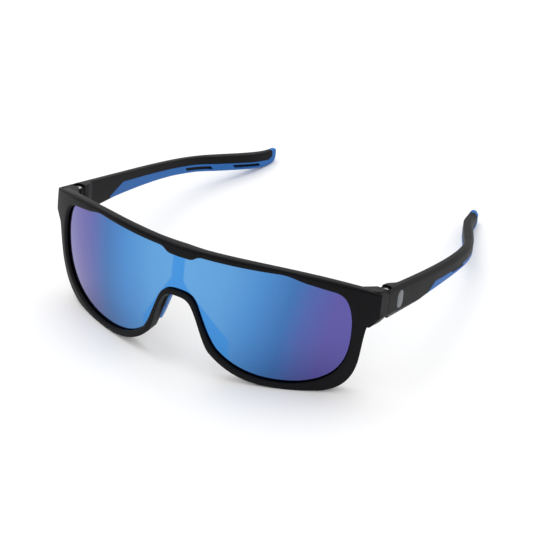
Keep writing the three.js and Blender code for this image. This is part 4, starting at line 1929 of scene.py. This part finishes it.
    def build(self) -> list[bpy.types.Object]:
        """The temple, grip and inlay of both sides.

        Returns:
            Their pieces.
        """
        nylon = self.curved(self.nylon_body())
        rubber = self.curved(self.rubber_body())
        inlay = self.curved(self.inlay_plate(0).bevelled(0.22, 3))
        pieces = []
        for side in Side:
            rows = (
                (nylon, self.nylon, "temple_arm", "frame_plastic", "temple"),
                (rubber, self.rubber, "grip", "grip_rubber", "temple_grip"),
                (inlay, self.metal, "inlay", "inlay_metal", "side_inlay"),
            )
            for shape, finish, name, slot, node in rows:
                names = (f"{name}_{side.word}", f"temple_{side.word}", slot)
                pieces.append(show(shape.on(side), finish, *names, [f"{node}_{side.word}"]))
        return pieces


@dataclass
class NosePads:
    """The two soft nose pads."""

    layout: Layout
    bridge_top: float
    rim_depth: float
    finish: bpy.types.Material
    length: float = 17.5
    width: float = 7.6
    thickness: float = 2.8
    splay: float = math.radians(14)

    def matrix(self) -> Matrix:
        """The left pad's frame: X down the pad, Y towards the wearer and Z away from the nose.

        Returns:
            The matrix, in millimetres.
        """
        along = Vector((0.36, 0, -0.93)).normalized()
        back = Vector((math.sin(self.splay), math.cos(self.splay), 0))
        out = along.cross(back).normalized()
        rear = out.cross(along)
        flat = np.array([[10.6, self.bridge_top - 13.5, -self.rim_depth - 0.9]])
        start = Vector(self.layout.wrap(flat)[0]) + rear * self.width / 2
        grid = Matrix((along, rear, out)).transposed().to_4x4()
        return Matrix.Translation(start) @ grid

    def outline(self, inset: float, height: float) -> Points:
        """The pad's outline at one height.

        Args:
            inset: how far it is drawn in.
            height: above the pad's middle plane.

        Returns:
            The outline's points.
        """
        radius = self.width / 2 - inset
        reach = self.length / 2 - self.width / 2
        turn = np.linspace(-math.pi / 2, math.pi / 2, 25)
        right = np.column_stack([reach + radius * np.cos(turn), 0.94 * radius * np.sin(turn)])
        ring = np.concatenate([right, -right])
        return np.column_stack([ring, np.full(len(ring), height)])

    def body(self) -> Solid:
        """A pillow with a crowned face and a slot for its arm.

        Returns:
            The pad about its own middle.
        """
        half, edge = self.thickness / 2, 1.15
        crown = ((3.0, 1.0), (2.4, 0.985), (1.8, 0.96))  # inset, share of the half thickness
        turn = np.linspace(math.pi / 2, 0, 7)
        top = [(inset, half * share) for inset, share in crown]
        top += [(edge * (1 - math.cos(a)), half * 0.93 * math.sin(a)) for a in turn]
        rings = [self.outline(inset, height) for inset, height in top]
        rings += [self.outline(inset, -height) for inset, height in top[-2::-1]]
        return loft(rings)

    def build(self, arm: Solid) -> list[bpy.types.Object]:
        """Both pads, slotted for their arms.

        Args:
            arm: the left arm in the row frame.

        Returns:
            The two pieces.
        """
        pad = self.body().placed(self.matrix()) - arm
        return [
            show(pad.on(side), self.finish, f"pad_{side.word}", "frame", "pad_rubber", [node])
            for side, node in ((side, f"nose_pad_{side.word}") for side in Side)
        ]


@dataclass
class Studio:
    """Camera, floor and light."""

    place: tuple[float, float, float] = (0.38764, -0.66346, 0.50142)
    azimuth: float = math.radians(30.719)
    elevation: float = math.radians(32.964)
    roll: float = math.radians(0.624)
    lens: float = 155.08
    sky: float = 1.0

    def camera(self) -> None:
        """Places the camera at the view's own angle."""
        data = bpy.data.cameras.new("camera")
        data.lens, data.sensor_width, data.clip_end = self.lens, 36.0, 20.0
        az, el = self.azimuth, self.elevation
        right = Vector((math.cos(az), math.sin(az), 0))
        ahead = Vector((-math.sin(az) * math.cos(el), math.cos(az) * math.cos(el), -math.sin(el)))
        up = right.cross(ahead)
        rolled = right * math.cos(self.roll) + up * math.sin(self.roll)
        over = rolled.cross(ahead)
        camera = bpy.data.objects.new("camera", data)
        turn = Matrix((rolled, over, -ahead)).transposed().to_4x4()
        camera.matrix_world = Matrix.Translation(self.place) @ turn
        bpy.context.scene.collection.objects.link(camera)
        bpy.context.scene.camera = camera

    def floor(self) -> None:
        """A wide pale floor at the height of the lowest point."""
        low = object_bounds()[0].z
        half = 3.0
        mesh = bpy.data.meshes.new("floor")
        corners = [(-half, -half, low), (half, -half, low), (half, half, low), (-half, half, low)]
        mesh.from_pydata(corners, [], [(0, 1, 2, 3)])
        floor = bpy.data.objects.new("floor", mesh)
        mesh.materials.append(Paper().material())
        bpy.context.scene.collection.objects.link(floor)
        floor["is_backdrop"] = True

    def area(self, name: str, place: Vector, power: float, size: float) -> None:
        """A soft square light that faces the glasses.

        Args:
            name: the light's name.
            place: where it hangs, in metres.
            power: in watts.
            size: of its side, in metres.
        """
        data = bpy.data.lights.new(name, "AREA")
        data.energy, data.size = power, size
        light = bpy.data.objects.new(name, data)
        light.location = place
        light.rotation_euler = (-place).to_track_quat("-Z", "Y").to_euler()
        bpy.context.scene.collection.objects.link(light)

    def light(self) -> None:
        """An even white surround with one large soft light above."""
        world = bpy.data.worlds.new("surround")
        bpy.context.scene.world = world
        world.use_nodes = True
        sky = world.node_tree.nodes["Background"]
        sky.inputs["Color"].default_value = (1, 1, 1, 1)
        sky.inputs["Strength"].default_value = self.sky
        self.area("overhead", Vector((-0.25, 0.1, 1.1)), 4.0, 0.9)
        bpy.context.scene.view_settings.view_transform = "Standard"

    def build(self) -> None:
        """Everything round the object."""
        self.camera()
        self.floor()
        self.light()


def main() -> None:
    """Builds the glasses and the studio round them."""
    logging.basicConfig(level=logging.INFO, format="%(message)s")
    layout = Layout()
    nylon = NYLON.material()
    shape = FrontShape(layout)
    arm = ArmShape(layout)
    hinge = Hinge(layout)
    front = FrontFrame(layout, shape, nylon)
    pads = NosePads(layout, shape.bridge_top, front.rim_depth, PAD_RUBBER.material())
    front.build(arm, hinge, pads)
    ShieldLens(layout, shape, LENS_COATING.material(), LENS_SMOKE.material()).build()
    Temple(layout, arm, hinge, nylon, GRIP_RUBBER.material(), SATIN.material()).build()
    pads.build(front.pad_arm(pads))
    brass, steel = BRASS.material(), STEEL.material()
    screw = hinge.screw().placed(layout.hinge_matrix)
    insert = hinge.knurled(hinge.insert_core(), brass).placed(layout.hinge_matrix)
    fasteners = ((screw, steel, "screw", "screw_steel"), (insert, brass, "insert", "insert_brass"))
    for side in Side:
        for body, finish, name, slot in fasteners:
            names = (f"{name}_{side.word}", "frame", slot, [f"hinge_{name}_{side.word}"])
            show(body.on(side), finish, *names)
    Studio().build()


if __name__ == "__main__":
    main()
